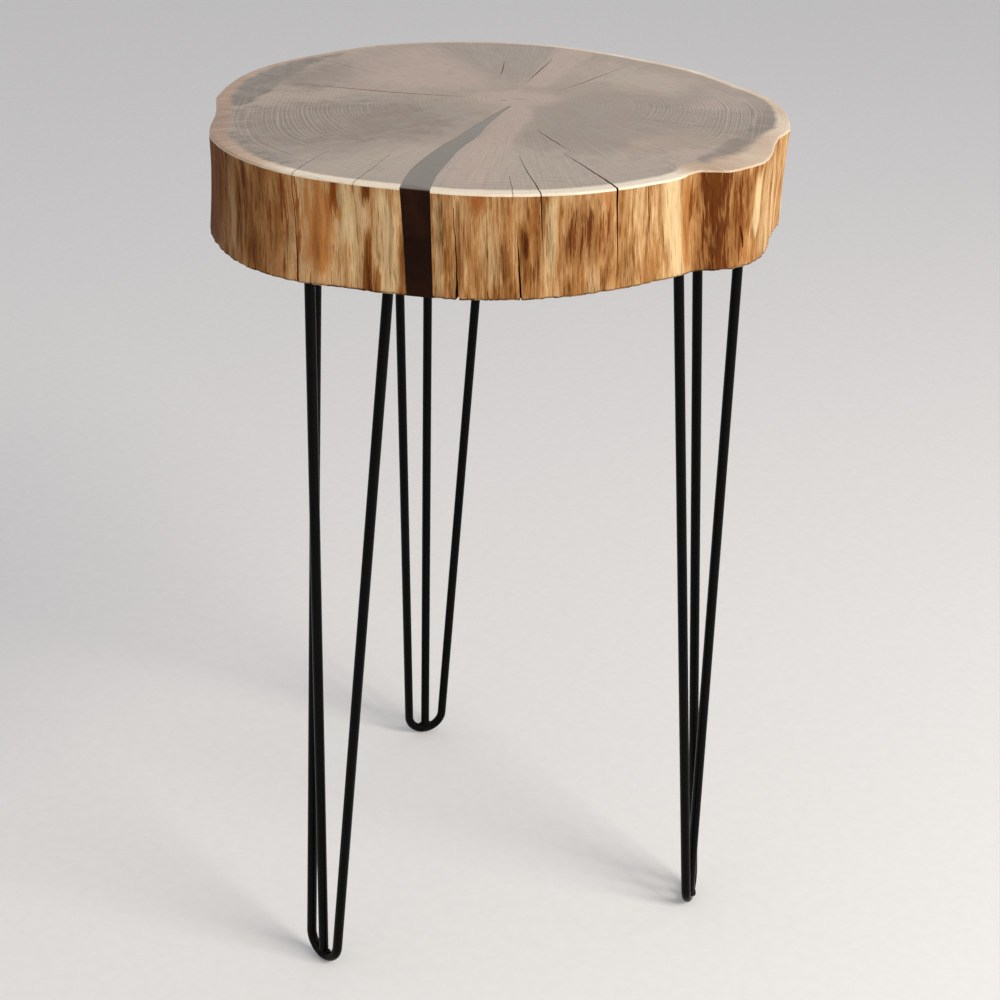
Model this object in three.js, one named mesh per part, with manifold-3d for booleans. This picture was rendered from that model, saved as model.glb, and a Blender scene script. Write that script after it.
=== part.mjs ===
// A small round table: one slice of a tree trunk with its live edge, on three hairpin legs
// of three steel rods each. The slice's one wide drying crack is filled with cast resin.
// Millimetres, +Z up. The origin is on the floor under the middle of the slice, and the
// side where the resin meets the edge faces -Y.
import * as THREE from 'three';
import { mergeVertices } from 'three/addons/utils/BufferGeometryUtils.js';
import Module from 'manifold-3d';

const wasm = await Module();
wasm.setup();

// Driving dimensions of the slice
const sliceRadius = 220;
const sliceThickness = 76;
const topArris = 4;
const undersideArris = 2;
const edgeRippleDepth = 1.6;

// Driving dimensions of the resin and of the open drying checks
const wideCheckWidth = 2;
const fineCheckWidth = 1.3;

// Driving dimensions of the legs
const legHeight = 610;
const rodDiameter = 8;
const outerRodSpread = 82;
const outerRodSetback = 39;
const bendRadius = 17;
const weldLeg = 2.5;
const rearFootReach = 204;
const leftFootReach = 209;
const rightFootReach = 194;

// Driving dimensions of the mounting plates
const plateThickness = 4;
const plateMargin = 10;
const plateShoulder = 32;
const plateNoseWidth = 44;
const plateCornerRadius = 8;
const innerHoleSpread = 56;
const innerHoleSetback = 53;
const middleHoleSetback = 26;
const noseHoleSpread = 40;
const noseHoleSetback = 6;

// Driving dimensions of the wood screws
const screwDiameter = 4.8;
const screwLength = 32;
const screwPoint = 6;
const threadDepth = 0.8;
const screwHeadDiameter = 9.4;
const screwHeadHeight = 3;
const recessWidth = 1.1;
const recessSpan = 4.6;
const recessDepth = 1.8;

// Clearances, and the overrun that every cut shares
const fitGap = 0.3;
const plateHoleClearance = 0.4;
const overrun = 3;
const mergeTolerance = 0.0005;

const rodRadius = rodDiameter / 2;
const screwRadius = screwDiameter / 2;
const rodTop = legHeight - plateThickness;

const material = {
  wood: new THREE.MeshStandardMaterial({ color: '#b79b7c', roughness: 0.6, metalness: 0 }),
  resin: new THREE.MeshStandardMaterial({ color: '#2a1c18', roughness: 0.2, metalness: 0 }),
  blackPaint: new THREE.MeshStandardMaterial({ color: '#161617', roughness: 0.45, metalness: 0.1 }),
  zincSteel: new THREE.MeshStandardMaterial({ color: '#8d8f92', roughness: 0.35, metalness: 0.9 }),
};

// A closed geometry as a solid that can be cut and joined.
function solidOf(geometry) {
  const bare = geometry.clone();
  bare.deleteAttribute('normal');
  bare.deleteAttribute('uv');
  const merged = mergeVertices(bare, mergeTolerance);
  const corners = merged.index.array;
  const faces = [];
  for (let i = 0; i < corners.length; i += 3) {
    const [a, b, c] = corners.slice(i, i + 3);
    if (a !== b && b !== c && c !== a) faces.push(a, b, c);
  }
  return new wasm.Manifold(
    new wasm.Mesh({
      numProp: 3,
      vertProperties: merged.attributes.position.array,
      triVerts: new Uint32Array(faces),
    }),
  );
}

function meshOf(name, solid, finish) {
  const { vertProperties, triVerts } = solid.getMesh();
  const geometry = new THREE.BufferGeometry();
  geometry.setAttribute('position', new THREE.BufferAttribute(vertProperties, 3));
  geometry.setIndex(new THREE.BufferAttribute(triVerts, 1));
  const shaded = geometry.toNonIndexed();
  shaded.computeVertexNormals();
  const mesh = new THREE.Mesh(shaded, finish);
  mesh.name = name;
  return mesh;
}

// Skin between rings of equally many points, closed by a cap at each end. The rings turn
// anticlockwise about the direction in which they follow one another.
function loft(rings) {
  const count = rings[0].length;
  const flat = rings[0].map((p) => new THREE.Vector2(p.x, p.y));
  const cap = count === 3 ? [[0, 1, 2]] : THREE.ShapeUtils.triangulateShape(flat, []);
  const last = (rings.length - 1) * count;
  const faces = [];
  for (const [a, b, c] of cap) faces.push(a, c, b, last + a, last + b, last + c);
  for (let ring = 0; ring < rings.length - 1; ring += 1) {
    for (let i = 0; i < count; i += 1) {
      const here = ring * count + i;
      const next = ring * count + ((i + 1) % count);
      faces.push(here, next, next + count, here, next + count, here + count);
    }
  }
  const geometry = new THREE.BufferGeometry().setFromPoints(rings.flat());
  geometry.setIndex(faces);
  return geometry;
}

function polar(reach, bearing, z = 0) {
  const angle = THREE.MathUtils.degToRad(bearing);
  return new THREE.Vector3(reach * Math.cos(angle), reach * Math.sin(angle), z);
}

// Live edge of the slice: bearing in degrees from +X, then how far the edge stands from the
// middle at the top face and at the underside, as shares of the slice's radius.
const edgeShares = [
  [0, 0.998, 0.99],
  [12, 0.993, 0.985],
  [24, 0.95, 0.952],
  [40, 0.945, 0.945],
  [56, 0.936, 0.945],
  [66, 0.95, 0.96],
  [78, 0.979, 0.98],
  [92, 0.995, 1],
  [104, 1.006, 1.015],
  [118, 1.018, 1.025],
  [134, 1.01, 1.02],
  [150, 1.023, 1.025],
  [164, 1.013, 1.02],
  [180, 0.995, 1.012],
  [190, 0.997, 1.015],
  [203, 1.038, 1.05],
  [214, 1.06, 1.08],
  [223, 1.06, 1.095],
  [232, 1.048, 1.08],
  [242, 1.02, 1.035],
  [253, 1.0, 1.008],
  [265, 1.0, 1.0],
  [277, 0.994, 0.985],
  [288, 0.985, 0.965],
  [299, 0.968, 0.943],
  [306, 0.962, 0.942],
  [311, 0.95, 0.94],
  [316, 1.002, 0.962],
  [320, 1.024, 1.005],
  [327, 1.028, 1.025],
  [336, 0.994, 1.0],
  [346, 0.999, 0.99],
];
const edgeStepsPerPoint = 3;

function edgeRing(column) {
  const points = edgeShares.map((row) => polar(row[column] * sliceRadius, row[0]));
  const curve = new THREE.CatmullRomCurve3(points, true);
  return curve.getPoints(points.length * edgeStepsPerPoint).slice(0, -1);
}

const topEdge = edgeRing(1);
const undersideEdge = edgeRing(2);

// Shallow flutes run down the edge where the bark was peeled off.
function flute(angle, heightShare) {
  const wave = Math.sin(13 * angle + 2 * heightShare) + Math.sin(22 * angle - heightShare);
  return edgeRippleDepth * Math.sin(Math.PI * heightShare) * (0.5 + wave / 4);
}

function sliceRing(heightShare, z, inset) {
  return topEdge.map((top, i) => {
    const point = undersideEdge[i].clone().lerp(top, heightShare);
    const angle = Math.atan2(point.y, point.x);
    const reach = point.length() - inset - flute(angle, heightShare);
    return point.setLength(reach).setZ(z);
  });
}

function sliceBlank() {
  const bevel = 1 - Math.SQRT1_2;
  const sideTop = sliceThickness - topArris;
  const rings = [
    sliceRing(0, 0, undersideArris),
    sliceRing(0, undersideArris * bevel, undersideArris * bevel),
    sliceRing(0, undersideArris, 0),
  ];
  for (const share of [0.2, 0.4, 0.6, 0.8]) {
    rings.push(sliceRing(share, THREE.MathUtils.lerp(undersideArris, sideTop, share), 0));
  }
  rings.push(
    sliceRing(1, sideTop, 0),
    sliceRing(1, sliceThickness - topArris * bevel, topArris * bevel),
    sliceRing(1, sliceThickness, topArris),
  );
  return solidOf(loft(rings));
}

// Wide crack that the resin fills, from its tip near the pith to the edge: across, along and
// how wide it is at the top face, as shares of the slice's radius. It is narrower below.
const crackShares = [
  [0.032, 0.032, 0.009],
  [-0.014, -0.085, 0.021],
  [-0.055, -0.2, 0.037],
  [-0.103, -0.36, 0.059],
  [-0.158, -0.5, 0.069],
  [-0.2, -0.65, 0.086],
  [-0.235, -0.8, 0.093],
  [-0.253, -0.95, 0.096],
  [-0.26, -1.12, 0.098],
];
const crackUndersideWidthShare = 0.85;

function crackRing(z, widthShare, gap) {
  const places = crackShares.map(([across, along]) => new THREE.Vector3(across, along, 0));
  const route = new THREE.CatmullRomCurve3(places.map((p) => p.multiplyScalar(sliceRadius)));
  const widths = crackShares.map((row) => row[2] * sliceRadius * widthShare);
  const left = [];
  const right = [];
  places.forEach((place, i) => {
    const ahead = route.getTangent(i / (places.length - 1));
    const side = new THREE.Vector3(ahead.y, -ahead.x, 0).setLength(widths[i] / 2 - gap);
    const middle = place.clone().addScaledVector(ahead, i === 0 ? gap : 0).setZ(z);
    right.push(middle.clone().add(side));
    left.push(middle.clone().sub(side));
  });
  return [...right, ...left.reverse()];
}

function crackWedge(gap) {
  const rings = [
    crackRing(-overrun, crackUndersideWidthShare, gap),
    crackRing(sliceThickness + overrun, 1, gap),
  ];
  return solidOf(loft(rings));
}

// Open drying checks in the top face. Each station of a check's route is a bearing in
// degrees, then how far out it lies as a share of the slice's radius, how wide the check is
// there as a share of its full width, and how deep as a share of the slice's thickness.
const wideCheckShares = [
  [[294, 0.31, 0.35, 0.15], [292.3, 0.6, 0.8, 0.5], [292, 1.12, 1, 2.2]],
  [[161.5, 0.84, 0.3, 0.1], [155, 0.41, 1, 0.3], [144, 0.17, 0.3, 0.1]],
  [[53.5, 0.83, 0.3, 0.1], [52, 0.5, 1, 0.25], [49, 0.3, 0.3, 0.1]],
];
const fineCheckShares = [
  [[276, 0.6, 0.3, 0.1], [277, 0.85, 1, 0.3], [277.4, 1.1, 1, 1]],
  [[272, 0.78, 0.3, 0.1], [273, 1.1, 1, 0.5]],
  [[74, 0.74, 0.3, 0.1], [74.6, 0.55, 1, 0.2], [75, 0.36, 0.3, 0.1]],
  [[89, 0.7, 0.3, 0.1], [90, 0.56, 1, 0.15], [90.5, 0.43, 0.3, 0.1]],
  [[226.5, 0.78, 0.3, 0.1], [229, 0.95, 1, 0.2], [232, 1.15, 1, 0.3]],
  [[239.5, 0.68, 0.3, 0.1], [242, 0.85, 1, 0.2], [244.5, 1.15, 1, 0.3]],
];

function checkBlade(routeShares, width) {
  const places = routeShares.map(([bearing, reach]) => polar(reach * sliceRadius, bearing));
  const rings = places.map((place, i) => {
    const before = places[Math.max(i - 1, 0)];
    const after = places[Math.min(i + 1, places.length - 1)];
    const ahead = after.clone().sub(before).normalize();
    const halfWidth = (routeShares[i][2] * width) / 2;
    const left = new THREE.Vector3(-ahead.y, ahead.x, 0).setLength(halfWidth);
    const lip = place.clone().setZ(sliceThickness + overrun);
    const root = place.clone().setZ(sliceThickness * (1 - routeShares[i][3]));
    return [lip.clone().add(left), lip.clone().sub(left), root];
  });
  return solidOf(loft(rings));
}

// Legs: where each foot stands, as a bearing and a reach from the middle of the slice, and
// the bearing that the leg faces.
const legs = [
  { name: 'rear', bearing: 108, facing: 110.5, reach: rearFootReach },
  { name: 'left', bearing: 230.7, facing: 224, reach: leftFootReach },
  { name: 'right', bearing: 339.6, facing: 345.5, reach: rightFootReach },
];

// A leg's own frame has its foot at the origin and +Y pointing out from under the table.
function legFrame({ bearing, facing, reach }) {
  const turn = THREE.MathUtils.degToRad(facing - 90);
  return new THREE.Matrix4().makeRotationZ(turn).setPosition(polar(reach, bearing));
}

const holePlaces = [
  [-innerHoleSpread / 2, -innerHoleSetback],
  [innerHoleSpread / 2, -innerHoleSetback],
  [0, -middleHoleSetback],
  [-noseHoleSpread / 2, -noseHoleSetback],
  [noseHoleSpread / 2, -noseHoleSetback],
];
const holeSides = 12;

function roundPin(radius, bottom, top, sides) {
  const pin = new THREE.CylinderGeometry(radius, radius, top - bottom, sides);
  return pin.rotateX(Math.PI / 2).translate(0, 0, (top + bottom) / 2);
}

// Clearance holes and pilot holes are measured across their flats.
function acrossFlats(radius) {
  return radius / Math.cos(Math.PI / holeSides);
}

function sliceSolid() {
  let solid = sliceBlank().subtract(crackWedge(0));
  const blades = [
    ...wideCheckShares.map((route) => checkBlade(route, wideCheckWidth)),
    ...fineCheckShares.map((route) => checkBlade(route, fineCheckWidth)),
  ];
  for (const blade of blades) solid = solid.subtract(blade);
  const pilotRadius = acrossFlats(screwRadius + fitGap);
  const pilotDepth = screwLength - plateThickness + fitGap;
  for (const leg of legs) {
    for (const [x, y] of holePlaces) {
      const pilot = roundPin(pilotRadius, -overrun, pilotDepth, holeSides);
      pilot.translate(x, y, 0).applyMatrix4(legFrame(leg));
      solid = solid.subtract(solidOf(pilot));
    }
  }
  return solid;
}

function roundedOutline(corners, radius) {
  const outline = new THREE.Shape();
  corners.forEach((corner, i) => {
    const before = corners[(i + corners.length - 1) % corners.length];
    const after = corners[(i + 1) % corners.length];
    const start = before.clone().sub(corner).setLength(radius).add(corner);
    const end = after.clone().sub(corner).setLength(radius).add(corner);
    if (i === 0) outline.moveTo(start.x, start.y);
    else outline.lineTo(start.x, start.y);
    outline.quadraticCurveTo(corner.x, corner.y, end.x, end.y);
  });
  return outline.closePath();
}

function plateSolid() {
  const half = outerRodSpread / 2 + rodRadius + weldLeg + plateMargin / 2;
  const inner = -innerHoleSetback - plateMargin;
  const corners = [
    new THREE.Vector2(-half, inner),
    new THREE.Vector2(half, inner),
    new THREE.Vector2(half, -plateShoulder),
    new THREE.Vector2(plateNoseWidth / 2, plateMargin),
    new THREE.Vector2(-plateNoseWidth / 2, plateMargin),
    new THREE.Vector2(-half, -plateShoulder),
  ];
  const outline = roundedOutline(corners, plateCornerRadius);
  const blank = new THREE.ExtrudeGeometry(outline, {
    depth: plateThickness,
    bevelEnabled: false,
    curveSegments: 5,
  });
  let solid = solidOf(blank.translate(0, 0, rodTop));
  for (const [x, y] of holePlaces) {
    const radius = acrossFlats(screwRadius + plateHoleClearance);
    const hole = roundPin(radius, rodTop - overrun, legHeight + overrun, holeSides);
    solid = solid.subtract(solidOf(hole.translate(x, y, 0)));
  }
  return solid;
}

// Centreline that runs through given stations, each one step apart however far it is from
// the next, so that the bend has many short steps and each straight has one long one.
class StationPath extends THREE.Curve {
  constructor(stations) {
    super();
    this.stations = stations;
  }

  getPoint(t) {
    const place = THREE.MathUtils.clamp(t, 0, 1) * (this.stations.length - 1);
    const before = Math.min(Math.floor(place), this.stations.length - 2);
    return this.stations[before].clone().lerp(this.stations[before + 1], place - before);
  }

  getPointAt(t) {
    return this.getPoint(t);
  }

  getTangentAt(t) {
    return this.getTangent(t);
  }
}

const bendSteps = 14;
const rodSides = 16;

// The bent rod lies in a plane that leans in from the foot to the tops of its two straights.
function bentRodStations() {
  const rise = rodTop - rodRadius;
  const up = new THREE.Vector3(0, -outerRodSetback, rise);
  const length = up.length();
  up.normalize();
  const place = (across, along) =>
    new THREE.Vector3(across, 0, rodRadius).addScaledVector(up, along);
  const topAcross = outerRodSpread / 2;
  const centreToTop = Math.hypot(topAcross, length - bendRadius);
  const topAngle = Math.atan2(length - bendRadius, topAcross);
  const start = topAngle - Math.acos(bendRadius / centreToTop);
  const bend = [];
  for (let i = 0; i <= bendSteps; i += 1) {
    const angle = start - ((Math.PI + 2 * start) * i) / bendSteps;
    bend.push(place(bendRadius * Math.cos(angle), bendRadius * (1 + Math.sin(angle))));
  }
  const straights = [bend[0], bend[bendSteps]].map((foot, i) => {
    const top = place(i === 0 ? topAcross : -topAcross, length);
    const reach = top.distanceTo(foot) + overrun;
    return top.sub(foot).setLength(reach).add(foot);
  });
  return [straights[0], ...bend, straights[1]];
}

function bentTube(radius) {
  const stations = bentRodStations();
  const section = new THREE.Shape().absarc(0, 0, radius, 0, 2 * Math.PI);
  const tube = new THREE.ExtrudeGeometry(section, {
    extrudePath: new StationPath(stations),
    steps: stations.length - 1,
    curveSegments: rodSides / 2,
  });
  return solidOf(tube);
}

// Weld bead round a rod, widest at the face that it is welded to.
function weldBead(x, y, z, height) {
  const buried = rodRadius - weldLeg / 4;
  const wide = rodRadius + weldLeg;
  const bead = new THREE.CylinderGeometry(wide, buried, height, rodSides);
  return solidOf(bead.rotateX(Math.PI / 2).translate(x, y, z - height / 2));
}

// Everything above the underside of the plate.
function abovePlate() {
  const wide = 2 * (outerRodSpread + outerRodSetback);
  const block = new THREE.BoxGeometry(wide, wide, 2 * overrun + weldLeg);
  return solidOf(block.translate(0, 0, rodTop + overrun + weldLeg / 2));
}

function bentRodSolid() {
  let solid = bentTube(rodRadius);
  for (const side of [-1, 1]) {
    const bead = weldBead((side * outerRodSpread) / 2, -outerRodSetback, rodTop, weldLeg);
    solid = solid.add(bead);
  }
  return solid.subtract(abovePlate());
}

// The middle rod stands upright on the bend, which its foot and its weld are cut to fit.
function middleRodSolid() {
  const seat = rodDiameter - fitGap;
  const rod = solidOf(roundPin(rodRadius, rodRadius * 1.4, rodTop, rodSides));
  const skirtHeight = 2 * weldLeg;
  const skirt = new THREE.CylinderGeometry(rodRadius * 0.9, rodRadius + weldLeg, skirtHeight, rodSides);
  skirt.rotateX(Math.PI / 2).translate(0, 0, seat + skirtHeight / 4);
  return rod
    .add(weldBead(0, 0, rodTop, weldLeg))
    .add(solidOf(skirt))
    .subtract(bentTube(rodRadius + fitGap));
}

// Pan-head wood screw, driven up through the plate: its head bears on z = 0 from below.
function screwSolid() {
  const headRadius = screwHeadDiameter / 2;
  const core = screwRadius - threadDepth;
  const turns = 4;
  const threadStart = screwLength * 0.4;
  const pitch = (screwLength - screwPoint - threadStart) / turns;
  const profile = [
    [0, -screwHeadHeight],
    [headRadius * 0.55, -screwHeadHeight * 0.94],
    [headRadius * 0.86, -screwHeadHeight * 0.66],
    [headRadius, -screwHeadHeight * 0.25],
    [headRadius, 0],
    [screwRadius, 0],
  ];
  for (let turn = 0; turn < turns; turn += 1) {
    const crest = threadStart + turn * pitch;
    profile.push([screwRadius, crest], [core, crest + pitch / 2]);
  }
  profile.push([screwRadius, screwLength - screwPoint], [0, screwLength]);
  const points = profile.map(([radius, z]) => new THREE.Vector2(radius, z));
  let solid = solidOf(new THREE.LatheGeometry(points, 10).rotateX(Math.PI / 2));
  for (const turn of [0, Math.PI / 2]) {
    const slot = new THREE.BoxGeometry(recessSpan, recessWidth, 2 * recessDepth);
    slot.rotateZ(turn).translate(0, 0, -screwHeadHeight);
    solid = solid.subtract(solidOf(slot));
  }
  return solid;
}

// The shares are measured from a point near the middle of the tree, so the table is moved
// until the slice's bounding rectangle is centred on the origin.
const table = new THREE.Group();
const edgeBox = new THREE.Box3().setFromPoints([...topEdge, ...undersideEdge]);
table.position.copy(edgeBox.getCenter(new THREE.Vector3()).negate());

const top = new THREE.Group();
top.position.z = legHeight;
top.add(meshOf('trunk_slice', sliceSolid(), material.wood));
top.add(meshOf('resin_fill', sliceBlank().intersect(crackWedge(fitGap)), material.resin));
table.add(top);

for (const leg of legs) {
  const group = new THREE.Group();
  group.applyMatrix4(legFrame(leg));
  group.add(meshOf(`${leg.name}_mounting_plate`, plateSolid(), material.blackPaint));
  group.add(meshOf(`${leg.name}_bent_rod`, bentRodSolid(), material.blackPaint));
  group.add(meshOf(`${leg.name}_middle_rod`, middleRodSolid(), material.blackPaint));
  holePlaces.forEach(([x, y], i) => {
    const screw = meshOf(`${leg.name}_screw_${i + 1}`, screwSolid(), material.zincSteel);
    screw.position.set(x, y, rodTop);
    group.add(screw);
  });
  table.add(group);
}

export default table;
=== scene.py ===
import math
from functools import partial

import bmesh
import bpy
import numpy as np
from mathutils import Euler, Matrix, Vector, noise


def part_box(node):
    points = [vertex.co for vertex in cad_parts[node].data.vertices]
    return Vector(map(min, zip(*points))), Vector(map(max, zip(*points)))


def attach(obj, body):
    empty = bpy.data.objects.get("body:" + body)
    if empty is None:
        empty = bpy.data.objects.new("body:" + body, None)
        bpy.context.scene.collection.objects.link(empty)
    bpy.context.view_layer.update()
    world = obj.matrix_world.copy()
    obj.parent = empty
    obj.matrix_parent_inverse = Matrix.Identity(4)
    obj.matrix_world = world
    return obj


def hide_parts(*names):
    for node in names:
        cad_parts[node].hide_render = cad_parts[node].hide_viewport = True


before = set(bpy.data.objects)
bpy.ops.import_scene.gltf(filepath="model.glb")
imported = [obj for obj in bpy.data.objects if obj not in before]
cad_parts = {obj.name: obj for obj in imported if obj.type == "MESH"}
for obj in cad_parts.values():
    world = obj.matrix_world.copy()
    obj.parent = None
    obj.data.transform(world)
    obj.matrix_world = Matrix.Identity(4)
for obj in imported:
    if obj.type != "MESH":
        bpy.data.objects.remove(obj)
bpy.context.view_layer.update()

# TRUNK SLICE
# One slice cross cut from a tree trunk, 76 mm thick, dark heartwood with a band of pale sapwood.
# The bark was peeled off, which left the live edge. The top is sanded flat, eased at the rim and
# varnished, and the slice has opened in drying checks that run from near the pith to the rim.
MM = 0.001
slice_low, slice_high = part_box("trunk_slice")
underside_z, top_z = slice_low.z, slice_high.z
thickness = top_z - underside_z
edge_middle = np.array([1.54, -0.235]) * MM
pith = np.array([14.0, 30.0]) * MM
steps_around = 960
side_row_spacing = 2.5 * MM
top_arris = 1.8 * MM
top_arris_steps = 5
cad_top_arris = 4 * MM
cad_underside_arris = 2 * MM
underside_arris = 0.8 * MM
outline_smoothing = 3
level_tolerance = 0.1 * MM
top_ring_spacing = 7 * MM
underside_ring_spacing = 26 * MM
pith_cap_share = 0.015


def outline_reach(level):
    """How far the slice's outline stands from its middle at that height, for each step round it."""
    corners = np.array([v.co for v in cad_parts["trunk_slice"].data.vertices])
    ring = corners[np.abs(corners[:, 2] - level) < level_tolerance, :2] - edge_middle
    order = np.argsort(np.arctan2(ring[:, 1], ring[:, 0]))
    bearings, reaches = np.arctan2(ring[order, 1], ring[order, 0]), np.hypot(*ring[order].T)
    reach = np.interp(turns, bearings, reaches, period=2 * math.pi)
    for _ in range(outline_smoothing):
        reach = sum(np.roll(reach, shift) for shift in (2, 1, 0, -1, -2)) / 5
    return reach


def grain(points, size, squash=1.0, seed=0.0):
    """Smooth noise at each point, with lumps of that size. A squash below 1 draws them out along Z."""
    scaled = points / size * [1, 1, squash] + seed
    return np.array([noise.noise(Vector(p)) for p in scaled])


turns = np.arange(steps_around) * 2 * math.pi / steps_around
outward = np.c_[np.cos(turns), np.sin(turns)]
# Small hollows and corners of the rim: a bearing in degrees, and how far out in millimetres.
rim_shifts = [
    (169, 0), (176, 1), (184, -2.6), (190, -2), (198, -0.5), (204, 0.8), (212, 0), (307, 0), (311, -2.6),
    (313, -5.6), (315, -4.8), (317, -0.9), (321, -2), (326, 0.6), (332, 0.7), (335, 0), (339, -2.2),
    (343.6, -4.6), (347, -1.8), (349.8, 1.2), (353, 0.4), (359, 0),
]
underside_shift_share = 0.5
shift_bearings, shift_amounts = np.array(rim_shifts).T
rim_shift = np.interp(np.degrees(turns), shift_bearings, shift_amounts) * MM
underside_reach = outline_reach(underside_z + cad_underside_arris) + rim_shift * underside_shift_share
top_reach = outline_reach(top_z - cad_top_arris) + rim_shift

# What the drawknife and the drying left on the live edge, as depths below the outline: wide
# flutes, bundles of fibre, single fibres, torn hollows, and chips out of the sawn lower edge.
flute_depth = 1.5 * MM
bundle_depth, bundle_size = 1.0 * MM, 8 * MM
fibre_depth, fibre_size = 0.5 * MM, 3 * MM
hollow_depth, hollow_size = 2.2 * MM, 26 * MM
chip_depth, chip_size, chip_height = 1.9 * MM, 6 * MM, 2.5 * MM


def outline_at(height_share):
    """The outline's reach at that share of the slice's height, for each step round it."""
    return underside_reach + (top_reach - underside_reach) * height_share


def flutes(height_share):
    """Depth of the wide flutes at that share of the slice's height."""
    waves = np.sin(13 * turns + 2 * height_share) + np.sin(22 * turns - height_share)
    return flute_depth * math.sin(math.pi * height_share) * (0.5 + waves / 4)


def worn_away(height_share):
    """Depth worn off the live edge at that share of the slice's height, for each step round it."""
    height = height_share * thickness
    points = np.c_[outward * outline_at(height_share)[:, None], np.full(steps_around, height)]
    bundles = bundle_depth * (grain(points, bundle_size, 0.1) + 0.5)
    fibres = fibre_depth * (grain(points, fibre_size, 0.06, 7.3) + 0.5)
    hollows = hollow_depth * np.clip(grain(points, hollow_size, 0.45, 3.1) - 0.12, 0, 1)
    chips = chip_depth * np.clip(grain(points, chip_size, 1, 9.7) + 0.1, 0, 1)
    near_top = 1 - 0.75 * height_share**8
    at_foot = math.exp(-height / chip_height)
    return flutes(height_share) + (bundles + fibres + hollows) * near_top + chips * at_foot


def edge_ring(height, inset, wear=worn_away):
    """Ring of points on the worn outline, at a height above the underside."""
    share = min(max(height / thickness, 0), 1)
    reach = outline_at(share) - wear(share) - inset
    return np.c_[edge_middle + outward * reach[:, None], np.full(steps_around, underside_z + height)]


def arris_rings(top, arris, wear=worn_away):
    """Rings that round an upper arris of that size, up to a height above the underside."""
    rounding = np.linspace(0, math.pi / 2, top_arris_steps + 1)
    return [edge_ring(top - arris * (1 - math.sin(a)), arris * (1 - math.cos(a)), wear) for a in rounding]


def inner_rings(rim, spacing):
    """Rings from the rim towards the pith, each the rim's own shape made smaller."""
    count = int(np.hypot(*(rim[:, :2] - pith).T).mean() / spacing)
    shares = np.linspace(1, pith_cap_share, count + 1)[1:]
    return [np.c_[pith + (rim[:, :2] - pith) * share, rim[:, 2]] for share in shares]


side_heights = np.arange(underside_arris, thickness - top_arris, side_row_spacing)
side_rings = [edge_ring(0, underside_arris)] + [edge_ring(height, 0) for height in side_heights]
side_rings += arris_rings(thickness, top_arris)
rings = inner_rings(side_rings[0], underside_ring_spacing)[::-1] + side_rings
rings += inner_rings(side_rings[-1], top_ring_spacing)


def skin(rings, closed_ends=True):
    """Faces between rings of equally many points, closed by a cap at each end."""
    count = len(rings[0])
    faces = []
    for ring in range(len(rings) - 1):
        start = ring * count
        faces += [
            (start + i, start + (i + 1) % count, start + count + (i + 1) % count, start + count + i)
            for i in range(count)
        ]
    if closed_ends:
        last = (len(rings) - 1) * count
        faces += [tuple(range(count))[::-1], tuple(range(last, last + count))]
    return faces


def mesh_object(name, points, faces):
    """Object with that mesh, in the scene."""
    data = bpy.data.meshes.new(name)
    data.from_pydata([tuple(map(float, p)) for p in points], [], faces)
    data.validate()
    made = bpy.data.objects.new(name, data)
    bpy.context.scene.collection.objects.link(made)
    return made


slab = mesh_object("trunk_slice_live_edge", np.concatenate(rings), skin(rings))

# Drying checks and the wide crack are cut as wedges.
mouth_overrun = 3 * MM
route_step = 2.2 * MM
check_wander = 0.45 * MM
check_wander_length = 7 * MM
root_wander_length = 3 * MM
least_check_width, least_check_depth = 0.2 * MM, 1 * MM
top_checks = [
    [(47, -118, 0.2, 6), (60, -147, 0.9, 26), (71, -172, 1.2, 50), (83, -201, 1.7, 90),
     (91, -222, 2.2, 130)],
    [(-172, 60, 0.3, 3), (-128, 51, 0.8, 6), (-80, 39, 1.2, 14), (-30, 32, 0.3, 3)],
    [(-150, 142, 0.2, 2), (-124, 120, 0.4, 3), (-98, 100, 0.2, 2)],
    [(106, 145, 0.2, 2), (82, 108, 0.7, 8), (68, 86, 0.8, 10), (46, 56, 0.2, 3)],
    [(43, 160, 0.2, 2), (32, 120, 0.8, 8), (21, 80, 0.2, 2)],
    [(3, 150, 0.2, 2), (2, 124, 0.6, 6), (0, 98, 0.2, 2)],
    [(16, -128, 0.2, 2), (20, -158, 0.5, 8), (29, -207, 0.8, 40), (32, -226, 1.0, 84)],
    [(9, -176, 0.2, 2), (11, -205, 0.4, 6), (12, -226, 0.5, 8)],
    [(-119, -126, 0.2, 2), (-132, -158, 0.5, 7), (-140, -184, 0.5, 12), (-147, -202, 0.6, 16)],
    [(-75, -130, 0.2, 2), (-86, -168, 0.3, 5), (-95, -196, 0.4, 7), (-103, -220, 0.5, 9)],
    [(101, -18, 0.2, 2), (128, -29, 0.3, 3), (154, -40, 0.2, 2)],
    [(29, -59, 0.3, 3), (40, -86, 0.8, 12), (53, -113, 0.2, 4)],
    [(9, 28, 0.2, 1), (14, 28, 0.8, 2), (20, 28, 0.2, 1)],
    [(-1, 22, 0.2, 1), (3, 23, 0.5, 2), (8, 23, 0.2, 1)],
]
# How far the first of these and the seventh lean to the side for each millimetre down.
check_leans = {0: 0.1, 6: 0.08}
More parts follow.
